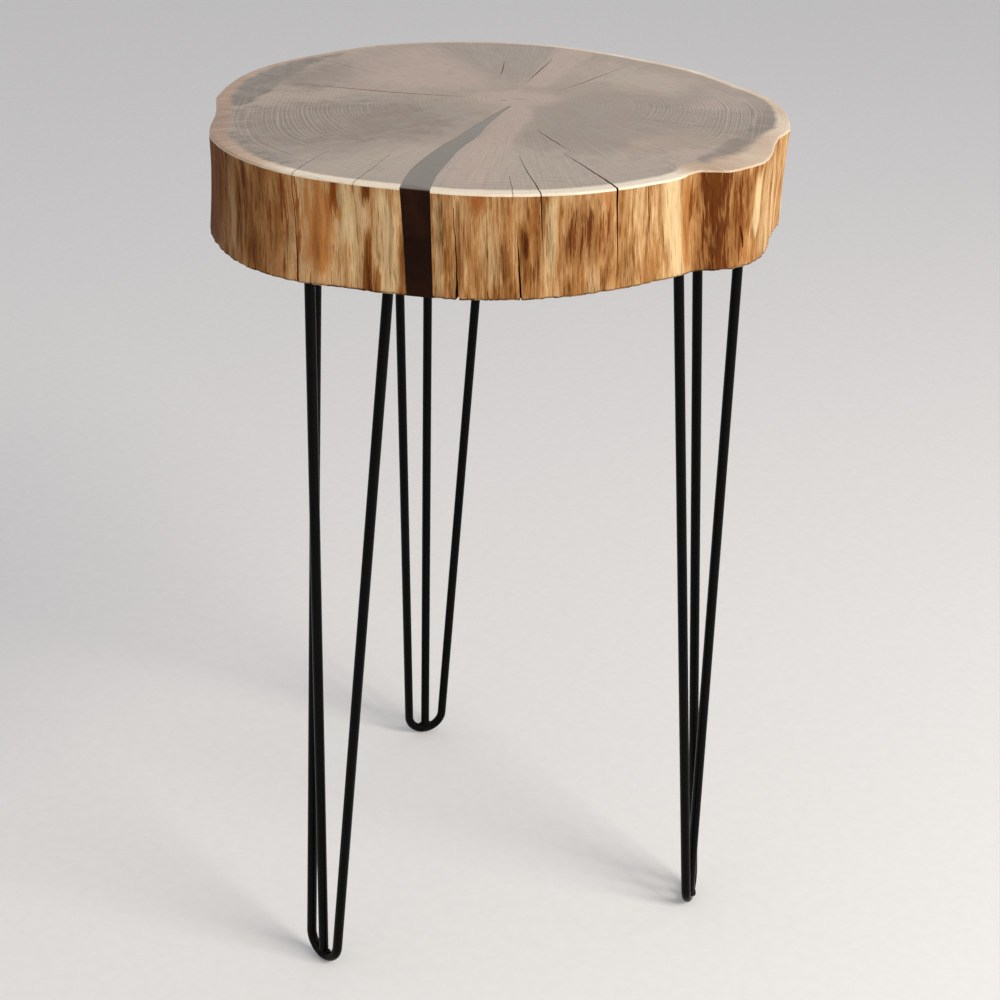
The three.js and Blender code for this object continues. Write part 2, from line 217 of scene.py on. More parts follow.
# A route down the live edge gives a bearing in degrees, a share of the thickness, and the same.
edge_checks = [
    [(262.3, 0.86, 0.4, 3), (262.7, 0.5, 1.1, 6), (263.1, 0.14, 1.7, 8), (263.3, -0.1, 4.0, 10)],
    [(273.6, 0.64, 0.4, 3), (274.1, 0.35, 1.5, 6), (274.8, -0.1, 1.7, 7)],
    [(232.0, 0.97, 0.2, 2), (232.4, 0.82, 0.8, 5), (233.2, 0.5, 1.0, 5), (234.2, -0.1, 1.6, 6)],
    [(277.5, 0.8, 0.8, 5), (277.8, 0.5, 0.3, 3)],
    [(298.9, 0.97, 0.6, 3), (299.7, 0.75, 1.3, 4), (300.3, 0.55, 1.6, 4), (300.8, 0.36, 0.8, 3),
     (301, 0.2, 0.4, 3)],
    [(321.2, 0.42, 0.5, 3), (321.8, 0.3, 2.0, 4), (322.2, 0.2, 0.8, 3)],
    [(310.8, 0.74, 0.4, 2), (311, 0.66, 1.0, 3), (311.2, 0.58, 0.4, 2)],
    [(246.6, 0.3, 0.3, 3), (246.9, 0.16, 0.9, 4), (247.1, -0.1, 2.0, 5)],
    [(268.6, 0.1, 0.4, 3), (268.8, -0.1, 2.4, 5)],
    [(240.0, 0.16, 0.3, 3), (240.1, -0.1, 1.2, 4)],
    [(236.4, 0.12, 0.3, 3), (236.5, -0.1, 1.4, 4)],
    [(243.6, 0.08, 0.3, 3), (243.6, -0.1, 1.6, 4)],
    [(265.0, 0.07, 0.4, 3), (265.2, -0.1, 1.6, 4)],
    [(270.6, 0.06, 0.4, 3), (270.6, -0.1, 1.8, 4)],
    [(222.6, 0.4, 0.3, 3), (223.0, 0.1, 0.7, 4), (223.2, -0.1, 1.0, 4)],
    [(20, 0.92, 0.2, 3), (20.6, 0.6, 1.0, 7), (21, 0.1, 0.3, 3)],
    [(58, 0.7, 0.3, 3), (58.4, 0.3, 1.0, 6), (58.8, -0.1, 1.5, 7)],
    [(97, 0.94, 0.2, 3), (97.4, 0.5, 1.1, 8), (98, -0.1, 0.8, 5)],
    [(131, 0.6, 0.3, 3), (131.4, 0.2, 1.0, 5), (131.6, -0.1, 1.3, 6)],
    [(168, 0.93, 0.2, 3), (168.5, 0.7, 0.8, 5), (169, 0.3, 0.3, 3)],
]


def smooth_route(stations):
    """Stations a step apart on a smooth curve through the given ones."""
    stations = np.array(stations, float)
    along = np.r_[0, np.cumsum(np.linalg.norm(np.diff(stations[:, :3], axis=0), axis=1))]
    places = np.linspace(0, along[-1], max(int(along[-1] / route_step), 4) + 1)
    slopes = np.gradient(stations, along, axis=0)
    piece = np.clip(np.searchsorted(along, places, "right") - 1, 0, len(along) - 2)
    span = (along[piece + 1] - along[piece])[:, None]
    t = ((places - along[piece])[:, None]) / span
    before, after = stations[piece], stations[piece + 1]
    return (
        (2 * t**3 - 3 * t**2 + 1) * before
        + (t**3 - 2 * t**2 + t) * span * slopes[piece]
        + (-2 * t**3 + 3 * t**2) * after
        + (t**3 - t**2) * span * slopes[piece + 1]
    )


def check_wedge(name, stations, inward, seed):
    """Wedge with its mouth beyond the wood and its root inside it. A station is x, y, z, width, depth."""
    route = smooth_route(stations)
    places = route[:, :3]
    widths, depths = np.maximum(route[:, 3], least_check_width), np.maximum(route[:, 4], least_check_depth)
    inward = np.array([inward(p) for p in places])
    ahead = np.gradient(places, axis=0)
    across = np.cross(ahead, inward)
    across /= np.linalg.norm(across, axis=1)[:, None]
    wander = grain(places, check_wander_length, 1, seed)[:, None]
    places = places + across * wander * check_wander
    half = across * (widths * (depths + mouth_overrun) / depths / 2)[:, None]
    mouth = places - inward * mouth_overrun
    root_wander = across * grain(places, root_wander_length, 1, seed + 5)[:, None] * check_wander
    root = places + inward * depths[:, None] + root_wander
    wedge_rings = [np.array(corners) for corners in zip(mouth - half, root, mouth + half)]
    return mesh_object(name, np.concatenate(wedge_rings), skin(wedge_rings))


def down(place, lean=0.0):
    """Straight down into the slice, or that far to the side for each unit down."""
    return np.array([lean, 0.0, -1.0])


def towards_middle(place):
    """Level, from that place towards the middle of the slice."""
    flat = place[:2] - edge_middle
    return -np.r_[flat / np.linalg.norm(flat), 0]


def edge_place(bearing, height_share):
    """Place on the outline at a bearing in degrees and a share of the thickness."""
    turn = math.radians(bearing)
    reach = np.interp(turn, turns, outline_at(height_share), period=2 * math.pi)
    flat = edge_middle + reach * np.array([math.cos(turn), math.sin(turn)])
    return [*flat, underside_z + height_share * thickness]


cutters = []
for number, route in enumerate(top_checks):
    stations = [(x * MM, y * MM, top_z, width * MM, depth * MM) for x, y, width, depth in route]
    leaning = partial(down, lean=check_leans.get(number, 0.0))
    cutters.append(check_wedge(f"top_check_{number}", stations, leaning, number * 11.3))
for number, route in enumerate(edge_checks):
    stations = [
        (*edge_place(bearing, share), width * MM, depth * MM) for bearing, share, width, depth in route
    ]
    cutters.append(check_wedge(f"edge_check_{number}", stations, towards_middle, 40 + number * 5.7))

# The wide crack, from its tip near the pith to the rim, in millimetres: across, along, and how
# wide it is at the top. It narrows towards the underside, where its front end lies 5 mm to one side.
wide_crack = [
    (8.6, 6.8, 2.0), (-1.5, -18.9, 4.6), (-10.6, -44.2, 8.1), (-21.1, -79.4, 13.0), (-33.2, -110.2, 15.2),
    (-42.5, -143.2, 18.9), (-50.2, -176.2, 20.5), (-54.1, -209.2, 21.1), (-55.7, -246.6, 21.6),
]
underside_width_share = 0.85
crack_lean = 5 * MM
crack_roughness = 0.35 * MM
crack_lumps = 16 * MM
crack_overrun = 4 * MM


def crack_prism(name, growth):
    """Upright prism with the wide crack's shape, made wider all round by growth."""
    route = smooth_route([(x * MM, y * MM, 0, width * MM, 0) for x, y, width in wide_crack])
    ahead = np.gradient(route[:, :2], axis=0)
    ahead /= np.linalg.norm(ahead, axis=1)[:, None]
    across = np.c_[-ahead[:, 1], ahead[:, 0]]
    rough_left = grain(route[:, :3], crack_lumps, 1, 2.2)[:, None] * crack_roughness
    rough_right = grain(route[:, :3], crack_lumps, 1, 6.4)[:, None] * crack_roughness
    lean = np.zeros((len(route), 2))
    lean[:, 0] = np.linspace(0, crack_lean, len(route))
    prism_rings = []
    for z, share, leaning in (
        (underside_z - crack_overrun, underside_width_share, lean),
        (top_z + crack_overrun, 1, 0),
    ):
        half = (route[:, 3] / 2 * share + growth)[:, None]
        left = route[:, :2] + leaning + across * (half + rough_left)
        right = route[:, :2] + leaning - across * (half + rough_right)
        outline = np.concatenate([right, left[::-1]])
        prism_rings.append(np.c_[outline, np.full(len(outline), z)])
    return mesh_object(name, np.concatenate(prism_rings), skin(prism_rings))


cutters.append(crack_prism("wide_crack", 0))


def outward_faces(thing):
    """Turns every face of a closed mesh outwards."""
    shell = bmesh.new()
    shell.from_mesh(thing.data)
    bmesh.ops.recalc_face_normals(shell, faces=shell.faces[:])
    shell.to_mesh(thing.data)
    shell.free()


def carve(thing, tools, operation):
    """Cuts or keeps what the tools cover of a mesh, then throws the tools away."""
    for tool in tools:
        outward_faces(tool)
        cut = thing.modifiers.new(tool.name, "BOOLEAN")
        cut.solver, cut.operation, cut.object = "MANIFOLD", operation, tool
    cut_mesh = bpy.data.meshes.new_from_object(thing.evaluated_get(bpy.context.evaluated_depsgraph_get()))
    thing.modifiers.clear()
    thing.data = cut_mesh
    for tool in tools:
        bpy.data.objects.remove(tool)


outward_faces(slab)
wood_faces = TOP_FACE, LIVE_EDGE, UNDERSIDE, CHECK_WALL = range(4)
heights = np.array([p.center.z for p in slab.data.polygons])
tilts = np.array([p.normal.z for p in slab.data.polygons])
slots = np.where(heights > top_z - top_arris, TOP_FACE, np.where(tilts < -0.7, UNDERSIDE, LIVE_EDGE))
slab.data.polygons.foreach_set("material_index", slots.astype(np.int32))
for cutter in cutters:
    all_wall = np.full(len(cutter.data.polygons), CHECK_WALL, np.int32)
    cutter.data.polygons.foreach_set("material_index", all_wall)
for holder in (slab, *cutters):
    for _ in wood_faces:
        holder.data.materials.append(None)
carve(slab, cutters, "DIFFERENCE")

# What the wood's colour follows, worked out for each point of the carved mesh: how far out from
# the pith it grew, and how far into the sapwood band it lies. The band's width is in millimetres.
sapwood_widths = [
    (0, 7), (20, 5), (60, 5), (90, 4), (120, 4), (150, 5), (165, 8), (185, 10), (200, 12), (220, 8),
    (240, 5.8), (255, 6.4), (270, 7.4), (285, 8.4), (300, 8), (309, 9), (315, 17), (320, 23), (325, 24),
    (331, 19), (338, 13), (346, 10.5), (353, 9),
]


def from_pith(points):
    """Bearing from the pith in degrees, distance from it, and the rim's distance from it there."""
    flat = points[:, :2] - pith
    bearing = np.degrees(np.arctan2(flat[:, 1], flat[:, 0])) % 360
    shares = []
    for ring in (side_rings[0], side_rings[-1]):
        rim = ring[:, :2] - pith
        rim_bearing = np.degrees(np.arctan2(rim[:, 1], rim[:, 0])) % 360
        order = np.argsort(rim_bearing)
        shares.append(np.interp(bearing, rim_bearing[order], np.hypot(*rim.T)[order], period=360))
    height = np.clip((points[:, 2] - underside_z) / thickness, 0, 1)
    rim_reach = shares[0] * (1 - height) + shares[1] * height
    return bearing, np.hypot(*flat.T), rim_reach


def angle_between(bearings, bearing):
    """How far each bearing is from the one given, from -180 to 180 degrees."""
    return (bearings - bearing + 180) % 360 - 180


def patch_depth(points, patches):
    """How deep each point lies inside the patch that covers it most, in widths of the patch's soft
    border, and below zero outside. A patch is that width and an outline, both in millimetres."""
    flat = points[:, :2] / MM
    deepest = np.full(len(flat), -3.0)
    for blend, outline in patches:
        corners = np.array(outline, float)
        nearest = np.full(len(flat), np.inf)
        inside = np.zeros(len(flat), bool)
        for start, end in zip(corners, np.roll(corners, -1, axis=0)):
            along = end - start
            share = np.clip((flat - start) @ along / (along @ along), 0, 1)
            nearest = np.minimum(nearest, np.hypot(*(flat - start - share[:, None] * along).T))
            spans = (start[1] > flat[:, 1]) != (end[1] > flat[:, 1])
            inside ^= spans & (flat[:, 0] < start[0] + (flat[:, 1] - start[1]) * along[0] / (along[1] or 1))
        deepest = np.maximum(deepest, np.where(inside, nearest, -nearest) / blend)
    return np.minimum(deepest, 3)


def streaks(rows, bearings, heights, ragged):
    """How strongly streaks down the live edge cover each point. A streak has its bearing at the top
    and at the underside, its half width in degrees, and the heights between which it lies as shares."""
    cover = np.zeros(len(bearings))
    for top_bearing, underside_bearing, half_width, low, high, strength in rows:
        middle = underside_bearing + (top_bearing - underside_bearing) * heights
        across = 1 - np.abs(angle_between(bearings, middle)) / half_width
        along = np.minimum(heights - low, high - heights) / 0.3 + 0.6 - (1 - across) * 0.6
        amount = np.clip(np.minimum(across * 1.5, along) + ragged, 0, 1) * np.clip(across * 4, 0, 1)
        cover = np.maximum(cover, strength * amount * np.clip(along * 3, 0, 1))
    return cover


# Patches of the end grain: dark and stained crescents against the sapwood, grey, rosy and brown
# sectors, paler patches that paint in the varnish's sheen, and those where the rings stand out.
dark_patches = [
    (5, [(-128, 168), (-146, 158), (-166, 139), (-181, 116), (-194, 90), (-203, 66), (-209, 40), (-211, 12),
         (-204, -8), (-197, -16), (-189, 0), (-184, 20), (-177, 44), (-171, 68), (-166, 88), (-160, 108),
         (-154, 127), (-145, 144), (-134, 156)]),
    (20, [(-198, -88), (-188, -118), (-170, -144), (-150, -162), (-146, -156), (-162, -136), (-178, -110),
         (-190, -86)]),
]
stained_patches = [
    (5, [(211, 34), (214, 10), (209, -30), (202, -52), (193, -70), (182, -94), (166, -116), (152, -136),
         (142, -133), (143, -120), (156, -104), (164, -84), (176, -62), (189, -34), (199, -4), (206, 22)]),
]
grey_patches = [
    (12, [(4, 80), (-20, 120), (-62, 206), (-40, 216), (0, 220), (46, 212), (48, 203), (34, 140),
         (20, 84)]),
    (20, [(-116, 34), (-60, 28), (-28, 4), (-14, -18), (-26, -52), (-44, -96), (-80, -104), (-120, -74),
         (-126, -20)]),
    (24, [(-180, -50), (-130, -80), (-76, -104), (-98, -150), (-140, -180), (-164, -140)]),
    (12, [(30, 6), (44, 34), (90, 56), (130, 44), (150, 4), (142, -44), (96, -84), (60, -186), (20, -190),
         (12, -120), (24, -50)]),
    (26, [(140, 66), (205, 60), (212, 0), (196, -60), (150, -60), (146, 0)]),
]
rosy_patches = [
    (5, [(2, 0), (24, 8), (26, -26), (14, -70), (6, -120), (2, -160), (-2, -212), (-36, -210), (-28, -150),
         (-12, -80)]),
    (14, [(14, 56), (-14, 46), (-26, 28), (-10, 12), (14, 8), (38, 14), (50, 34), (36, 50)]),
    (7, [(22, 76), (36, 130), (50, 210), (80, 194), (62, 140), (44, 84), (30, 62)]),
    (18, [(150, 14), (170, 70), (198, 44), (190, 10), (164, 4)]),
    (12, [(124, -100), (150, -96), (168, -80), (150, -130), (122, -152)]),
    (34, [(-120, 150), (-64, 190), (-24, 110), (-20, 56), (-70, 50), (-120, 76)]),
]
brown_patches = [
    (30, [(-196, 60), (-150, 122), (-100, 168), (-70, 140), (-100, 90), (-150, 40)]),
    (22, [(-204, -24), (-150, 6), (-60, 8), (-36, -40), (-60, -90), (-120, -104), (-176, -120)]),
]
# Painted sheen: these patches pale the top towards a hazy grey, where the varnish catches the light.
sheen_patches = [
    (30, [(-150, -150), (-60, -110), (0, -100), (70, -120), (140, -110), (110, -190), (0, -230),
         (-130, -210)]),
    (30, [(70, 90), (150, 50), (150, 100), (90, 150)]),
]
ringed_patches = [
    (14, [(150, 76), (206, 70), (216, 0), (200, -66), (164, -74), (152, 0)]),
    (16, [(-200, -10), (-150, 6), (-100, -4), (-104, -90), (-160, -144), (-198, -80)]),
    (12, [(108, 30), (136, 34), (140, -30), (112, -36)]),
    (9, [(-110, -182), (-20, -198), (80, -180), (90, -196), (0, -222), (-110, -206)]),
]
# Half the arc in degrees over which the rim's shape is evened out for the growth rings.
ring_smoothing = 14
# How weathered the live edge is, with painted shade where it faces away from the key lamp (190 to 225
# degrees), and how pale the sapwood: each a bearing, and a share.
edge_weathering_and_shade = [
    (0, 0.05), (40, 0.3), (80, 0.1), (120, 0.35), (160, 0.25), (190, 0.75), (203, 0.85), (214, 0.72),
    (220, 0.36), (225, 0.08), (231, 0), (252, 0), (262, 0.14), (275, 0.16), (285, 0.2), (293, 0.08),
    (300, 0), (345, 0),
]
# How much paler or darker than the rest the live edge is: a bearing, and a step along its ramp.
edge_tones = [
    (0, 0), (30, 0.04), (55, -0.04), (90, 0.03), (118, -0.05), (150, 0.03), (180, -0.03), (205, -0.03),
    (217, 0), (222, -0.035), (230, -0.02), (234, 0.19), (237, 0.12), (240, 0.03), (243, 0), (246, 0.1),
    (250, -0.01), (257, -0.09), (260.2, -0.12), (263.6, 0.03), (267, 0.03), (270.6, -0.04), (274, -0.04),
    (277.2, -0.03), (280, 0), (283.4, 0.01), (288.5, 0.035), (293, 0.01), (297, -0.01), (303, 0.02),
    (308, 0.06), (312.3, 0.04), (315.4, 0.01), (318.8, -0.02), (323, -0.01), (328.4, -0.07), (336, 0.03),
    (340, 0.07), (350, 0),
]
sapwood_tones = [
    (0, 0.68), (20, 0.66), (45, 0.74), (80, 0.68), (105, 0.5), (125, 0.4), (150, 0.42), (175, 0.3),
    (192, 0.12), (200, 0.22), (207, 0.32), (218, 0.5), (226, 0.66), (235, 0.78), (250, 0.97), (300, 1),
    (308, 0.8), (315, 0.54), (325, 0.6), (335, 0.66), (350, 0.66),
]
pale_streaks = [
    (304, 308.8, 3.9, -0.1, 1.1, 0.85), (242, 243.5, 3.4, 0, 1, 0.75), (250, 251, 3.4, 0, 1, 0.66),
    (214.5, 219, 1.8, 0, 0.95, 0.7), (279.3, 280, 1.7, 0.1, 1, 0.75), (325.5, 325.5, 1.7, 0.36, 0.86, 0.95),
    (297, 298, 5, -0.2, 1.2, 0.3), (259.5, 260, 1.4, 0, 1, 0.45), (269, 270, 2.5, 0.15, 0.8, 0.45),
    (333, 330, 5, 0, 0.95, 0.5), (341, 341, 2, 0, 1, 0.75), (234.2, 235.4, 1.6, -0.1, 1.1, 0.5),
    (227, 229, 1.1, 0.3, 1, 0.4), (286, 289, 2.5, -0.3, 0.25, 0.5), (345.5, 345.5, 1.2, 0, 1, 0.5),
]
amber_streaks = [
    (231.5, 233, 12, -0.5, 1.5, 0.52), (313.4, 315.2, 0.6, 0.1, 0.8, 1.0),
    (235.5, 236, 2.0, 0.84, 1.2, 0.8), (266.5, 266.8, 1.6, 0.78, 1.3, 0.9),
    (240.3, 240.6, 0.9, 0.72, 1.2, 1.3), (241.2, 241.4, 0.7, 0.6, 0.76, 1.3),
    (237.0, 237.6, 4.0, 0.1, 0.96, 1.1), (232.2, 233.6, 1.0, 0, 1, 0.6), (242, 243, 1.6, -0.2, 0.5, 0.6),
    (309.8, 310.8, 1.8, 0, 1, 0.66), (319.5, 322, 2.4, 0, 1, 0.6), (338, 338.5, 1.2, 0.1, 0.95, 0.9),
    (252.4, 252.9, 0.7, -0.2, 0.5, 1.1), (222, 224, 2.0, 0.3, 0.9, 0.4), (290.6, 291, 3.2, 0.4, 1.1, 0.5),
    (276.5, 276.8, 1.4, 0.45, 0.95, 0.8), (300, 301, 3, -0.2, 0.3, 0.5),
]
# Brown streaks are stains of the wood; the wide ones from bearing 311 to 321 also paint in the shade of the
# hollow in the rim there.
brown_streaks = [
    (312.9, 313.6, 0.45, 0.45, 0.86, 1.1), (317.6, 318.6, 0.4, 0.3, 0.8, 1.1),
    (316.2, 317.4, 0.4, 0.05, 0.5, 1.1), (314.8, 317.4, 5.2, -0.1, 1.1, 0.86),
    (319, 320.5, 3.0, -0.1, 1.1, 0.66), (246.5, 246.8, 1.2, -0.2, 0.6, 0.7),
    (246.5, 246.7, 1.7, 0.78, 1.3, 1.2), (275, 275.8, 1.1, 0.3, 0.75, 1.0),
    (286.6, 285.4, 4.6, 0.3, 0.86, 0.6), (283, 283.5, 1.2, 0.3, 0.65, 0.8), (223, 225, 3.0, 0.1, 0.85, 0.5),
    (209, 211, 3.0, 0, 0.9, 0.6), (230, 231.6, 1.3, 0.1, 0.95, 0.45), (311.2, 311.5, 0.5, 0.5, 0.82, 1.2),
    (263, 263.4, 0.6, 0, 0.9, 0.7), (320, 321, 0.6, 0.6, 0.9, 0.7), (204, 204, 4, 0, 1, 0.6),
    (291, 291.5, 1.4, 0.3, 0.8, 0.5), (217.6, 219.5, 0.8, 0.1, 0.9, 0.7),
    (271.5, 272.5, 0.8, 0.1, 0.6, 0.7), (299.6, 300.4, 0.5, 0.1, 0.7, 0.9),
]
# The knot streaks from bearing 312 to 321 also paint in the shade of the rim's hollow there.
knot_streaks = [
    (315.2, 318, 4.2, -0.3, 1.3, 0.68), (246.5, 246.6, 1.1, -0.2, 0.64, 1.2),
    (248.3, 248.6, 0.6, -0.4, 0.2, 1.0), (240.2, 240.5, 1.1, 0.72, 1.3, 1.1),
    (246.8, 246.9, 1.5, 0.8, 1.3, 1.3), (233, 234.2, 0.5, -0.1, 1.1, 0.8),
    (274.6, 275.4, 1.2, 0.32, 0.74, 0.8), (283.5, 284, 0.8, 0.35, 0.78, 0.8),
    (286.6, 287, 2.0, 0.42, 0.7, 0.4), (284.2, 284.5, 0.4, 0.4, 0.75, 0.9),
    (285.4, 285.8, 0.35, 0.35, 0.7, 0.8), (287.3, 287.6, 0.4, 0.45, 0.8, 0.9),
    (288.4, 288.8, 0.35, 0.3, 0.6, 0.7), (312.2, 312.5, 0.4, 0.55, 0.84, 1.0),
    (320.4, 321, 0.5, 0.6, 0.9, 0.8), (218, 220, 0.6, 0.2, 0.9, 0.7), (226.5, 228.5, 0.7, 0.3, 0.8, 0.6),
    (271.2, 272, 0.7, -0.2, 1.0, 0.6), (293, 293.4, 0.8, 0.5, 0.85, 0.6),
]
# The rest of the live edge has the same kinds of streak, laid out by a seeded draw.
far_side = np.random.default_rng(7)
for rows, count, width in (
    (pale_streaks, 12, 3.2), (amber_streaks, 12, 2.4), (brown_streaks, 13, 3.0), (knot_streaks, 9, 1.4),
):
    for _ in range(count):
        bearing, lean = far_side.uniform(-8, 198), far_side.normal(0, 1)
        low, high = sorted(far_side.uniform(-0.3, 1.3, 2))
        half_width = width * far_side.uniform(0.4, 1)
        strength = far_side.uniform(0.5, 1)
        rows.append((bearing, bearing + lean, half_width, low, max(high, low + 0.4), strength))


def lay_on(thing, name, values):
    """Keeps a number or a place for each point of the mesh, which the material reads by name."""
    values = np.asarray(values, np.float32)
    kind, field = ("FLOAT", "value") if values.ndim == 1 else ("FLOAT_VECTOR", "vector")
    layer = thing.data.attributes.new(name, kind, "POINT")
    layer.data.foreach_set(field, values.ravel())


# How far a fibre moves round the trunk between the top and the underside: a bearing, and degrees.
fibre_drifts = [
    (0, 0), (120, 2), (200, 3), (214, 4.5), (225, 2.5), (240, 1.2), (252, 0.6), (280, 0.8), (290, 1.3),
    (297, 2), (304, 4), (311, 2.6), (320, 2.4), (328, 0.5), (336, -2), (345, 0.5),
]


def on_trunk(points):
    """Where the fibre at each point of the live edge lies on an even round trunk."""
    flat = points[:, :2] - edge_middle
    bearings = np.degrees(np.arctan2(flat[:, 1], flat[:, 0])) % 360
    drifts = np.interp(bearings, *np.array(fibre_drifts).T, period=360)
    even = np.radians(bearings - drifts * (top_z - points[:, 2]) / thickness)
    return np.c_[np.cos(even) * top_reach.mean(), np.sin(even) * top_reach.mean(), points[:, 2]]


points = np.empty(len(slab.data.vertices) * 3, np.float32)
slab.data.vertices.foreach_get("co", points)
points = points.reshape(-1, 3).astype(float)
pith_bearings, pith_distances, rim_reaches = from_pith(points)
trunk_shape = np.array([[b, rim_reaches[np.abs(angle_between(pith_bearings, b)) < ring_smoothing].mean()]
                        for b in range(0, 360, 6)])
trunk_reaches = np.interp(pith_bearings, *trunk_shape.T, period=360)
edge_bearings = np.degrees(np.arctan2(points[:, 1] - edge_middle[1], points[:, 0] - edge_middle[0])) % 360
edge_heights = np.clip((points[:, 2] - underside_z) / thickness, 0, 1)
sap_width = np.interp(edge_bearings, *np.array(sapwood_widths).T, period=360) * MM
torn_size = 9 * MM
torn = grain(points, torn_size, 0.2, 8.8) * 0.7
lay_on(slab, "on_trunk", on_trunk(points))
lay_on(slab, "grown", pith_distances / trunk_reaches * trunk_reaches.mean())
lay_on(slab, "into_heart", (rim_reaches - pith_distances) / sap_width)
for name, rows in (
    ("weathering_and_shade", edge_weathering_and_shade), ("edge_tone", edge_tones), ("sap_tone", sapwood_tones),
):
    lay_on(slab, name, np.interp(edge_bearings, *np.array(rows).T, period=360))
for name, patches in (
    ("dark", dark_patches), ("stained", stained_patches), ("grey", grey_patches), ("rosy", rosy_patches),
    ("brown", brown_patches), ("painted_sheen", sheen_patches), ("ringed", ringed_patches),
):
    lay_on(slab, name, patch_depth(points, patches))
for name, rows in (
    ("pale_streak", pale_streaks), ("amber_streak", amber_streaks), ("brown_streak", brown_streaks),
    ("knot_streak", knot_streaks),
):
    lay_on(slab, name, streaks(rows, edge_bearings, edge_heights, torn))


def linear(colour):
    """Linear red, green and blue of an sRGB hex colour, with an alpha of 1."""
    parts = [int(colour[i : i + 2], 16) / 255 for i in (1, 3, 5)]
    return (*[c / 12.92 if c <= 0.04045 else ((c + 0.055) / 1.055) ** 2.4 for c in parts], 1.0)


def add(material, kind, settings=None, links=None, stops=None, out=0):
    """Adds a node and gives back one of its outputs. settings are its own choices, links its inputs,
    each a value or another node's output, and stops a ramp's places and colours."""
    tree = material.node_tree
    made = tree.nodes.new("ShaderNode" + kind)
    for name, choice in (settings or {}).items():
        setattr(made, name, choice)
    for name, source in (links or {}).items():
        if isinstance(source, bpy.types.NodeSocket):
            tree.links.new(source, made.inputs[name])
        else:
            made.inputs[name].default_value = linear(source) if isinstance(source, str) else source
    if stops:
        ramp = made.color_ramp.elements
        while len(ramp) < len(stops):
            ramp.new(0.5)
        for element, (place, colour) in zip(ramp, stops):
            element.position, element.color = place, linear(colour)
    return made.outputs[out] if len(made.outputs) else None


def emptied(holder):
    """The same material or world, with no nodes in it yet."""
    holder.use_nodes = True
    for old in list(holder.node_tree.nodes):
        holder.node_tree.nodes.remove(old)
    return holder


def new_material(name):
    """Material with no nodes in it yet."""
    return emptied(bpy.data.materials.new(name))


# Sanded end grain under satin varnish: growth rings about 2.9 mm apart, fine rays that fan out
# from the pith, and a sheen that pales the dark heartwood when seen at a low angle.
ring_spacing = 2.9 * MM
top_wood = new_material("varnished_end_grain")
place = add(top_wood, "TexCoord", out="Object")
grown_out, into_heart, sap_tone, ringed = [
    add(top_wood, "Attribute", {"attribute_name": kept}, out="Fac")
    for kept in ("grown", "into_heart", "sap_tone", "ringed")
]
sway, ripple, clouds, pores = [
    add(top_wood, "TexNoise", None, {"Vector": place, "Scale": 1 / (size * MM), "Detail": detail})
    for size, detail in ((70, 0.5), (7, 1.0), (70, 5.0), (1.5, 2.0))
]
years = add(top_wood, "TexNoise", {"noise_dimensions": "1D"}, {
    "W": grown_out, "Scale": 1 / (14 * MM), "Detail": 2.0})
mottle = add(top_wood, "TexNoise", None, {
    "Vector": place, "Scale": 1 / (11 * MM), "Detail": 5.0, "Roughness": 0.6})
ring_at = grown_out
for lumps, throw in ((sway, 8 * MM), (years, 8 * MM), (ripple, 0.4 * MM)):
    ring_at = add(top_wood, "Math", {"operation": "MULTIPLY_ADD"}, {0: lumps, 1: throw, 2: ring_at})
ring_count = add(top_wood, "Math", {"operation": "DIVIDE"}, {0: ring_at, 1: ring_spacing})
ring_place = add(top_wood, "Math", {"operation": "FRACT"}, {0: ring_count})
late_wood = add(top_wood, "ValToRGB", None, {"Fac": ring_place}, [
    (0.0, "#ffffff"), (0.16, "#505050"), (0.5, "#1c1c1c"), (0.78, "#000000"), (0.96, "#ffffff")])
early_wood = add(top_wood, "ValToRGB", None, {"Fac": ring_place}, [
    (0.1, "#000000"), (0.3, "#ffffff"), (0.55, "#404040"), (0.9, "#000000")])

# Rays are noise that hardly changes on the way out from the pith.
from_centre = add(top_wood, "VectorMath", {"operation": "SUBTRACT"}, {0: place, 1: (*pith, 0)})
flattened = add(top_wood, "VectorMath", {"operation": "MULTIPLY"}, {0: from_centre, 1: (1, 1, 0)})
direction = add(top_wood, "VectorMath", {"operation": "NORMALIZE"}, {0: flattened})
spread = add(top_wood, "VectorMath", {"operation": "SCALE"}, {0: direction, "Scale": 110.0})
slow_out = add(top_wood, "Math", {"operation": "MULTIPLY"}, {0: grown_out, 1: 24.0})
outwards = add(top_wood, "CombineXYZ", None, {"Z": slow_out})
ray_place = add(top_wood, "VectorMath", {"operation": "ADD"}, {0: spread, 1: outwards})
ray_noise = add(top_wood, "TexNoise", None, {
    "Vector": ray_place, "Scale": 1.0, "Detail": 3.0, "Roughness": 0.6})

# The heartwood's colour, one layer over another: a share of each and its colour.
heart = add(top_wood, "ValToRGB", None, {"Fac": clouds}, [
    (0.3, "#7f6a5c"), (0.5, "#8b7565"), (0.7, "#978070")])
ragged = add(top_wood, "Math", {"operation": "MULTIPLY_ADD"}, {0: mottle, 1: 2.4, 2: -1.2})
layers = []
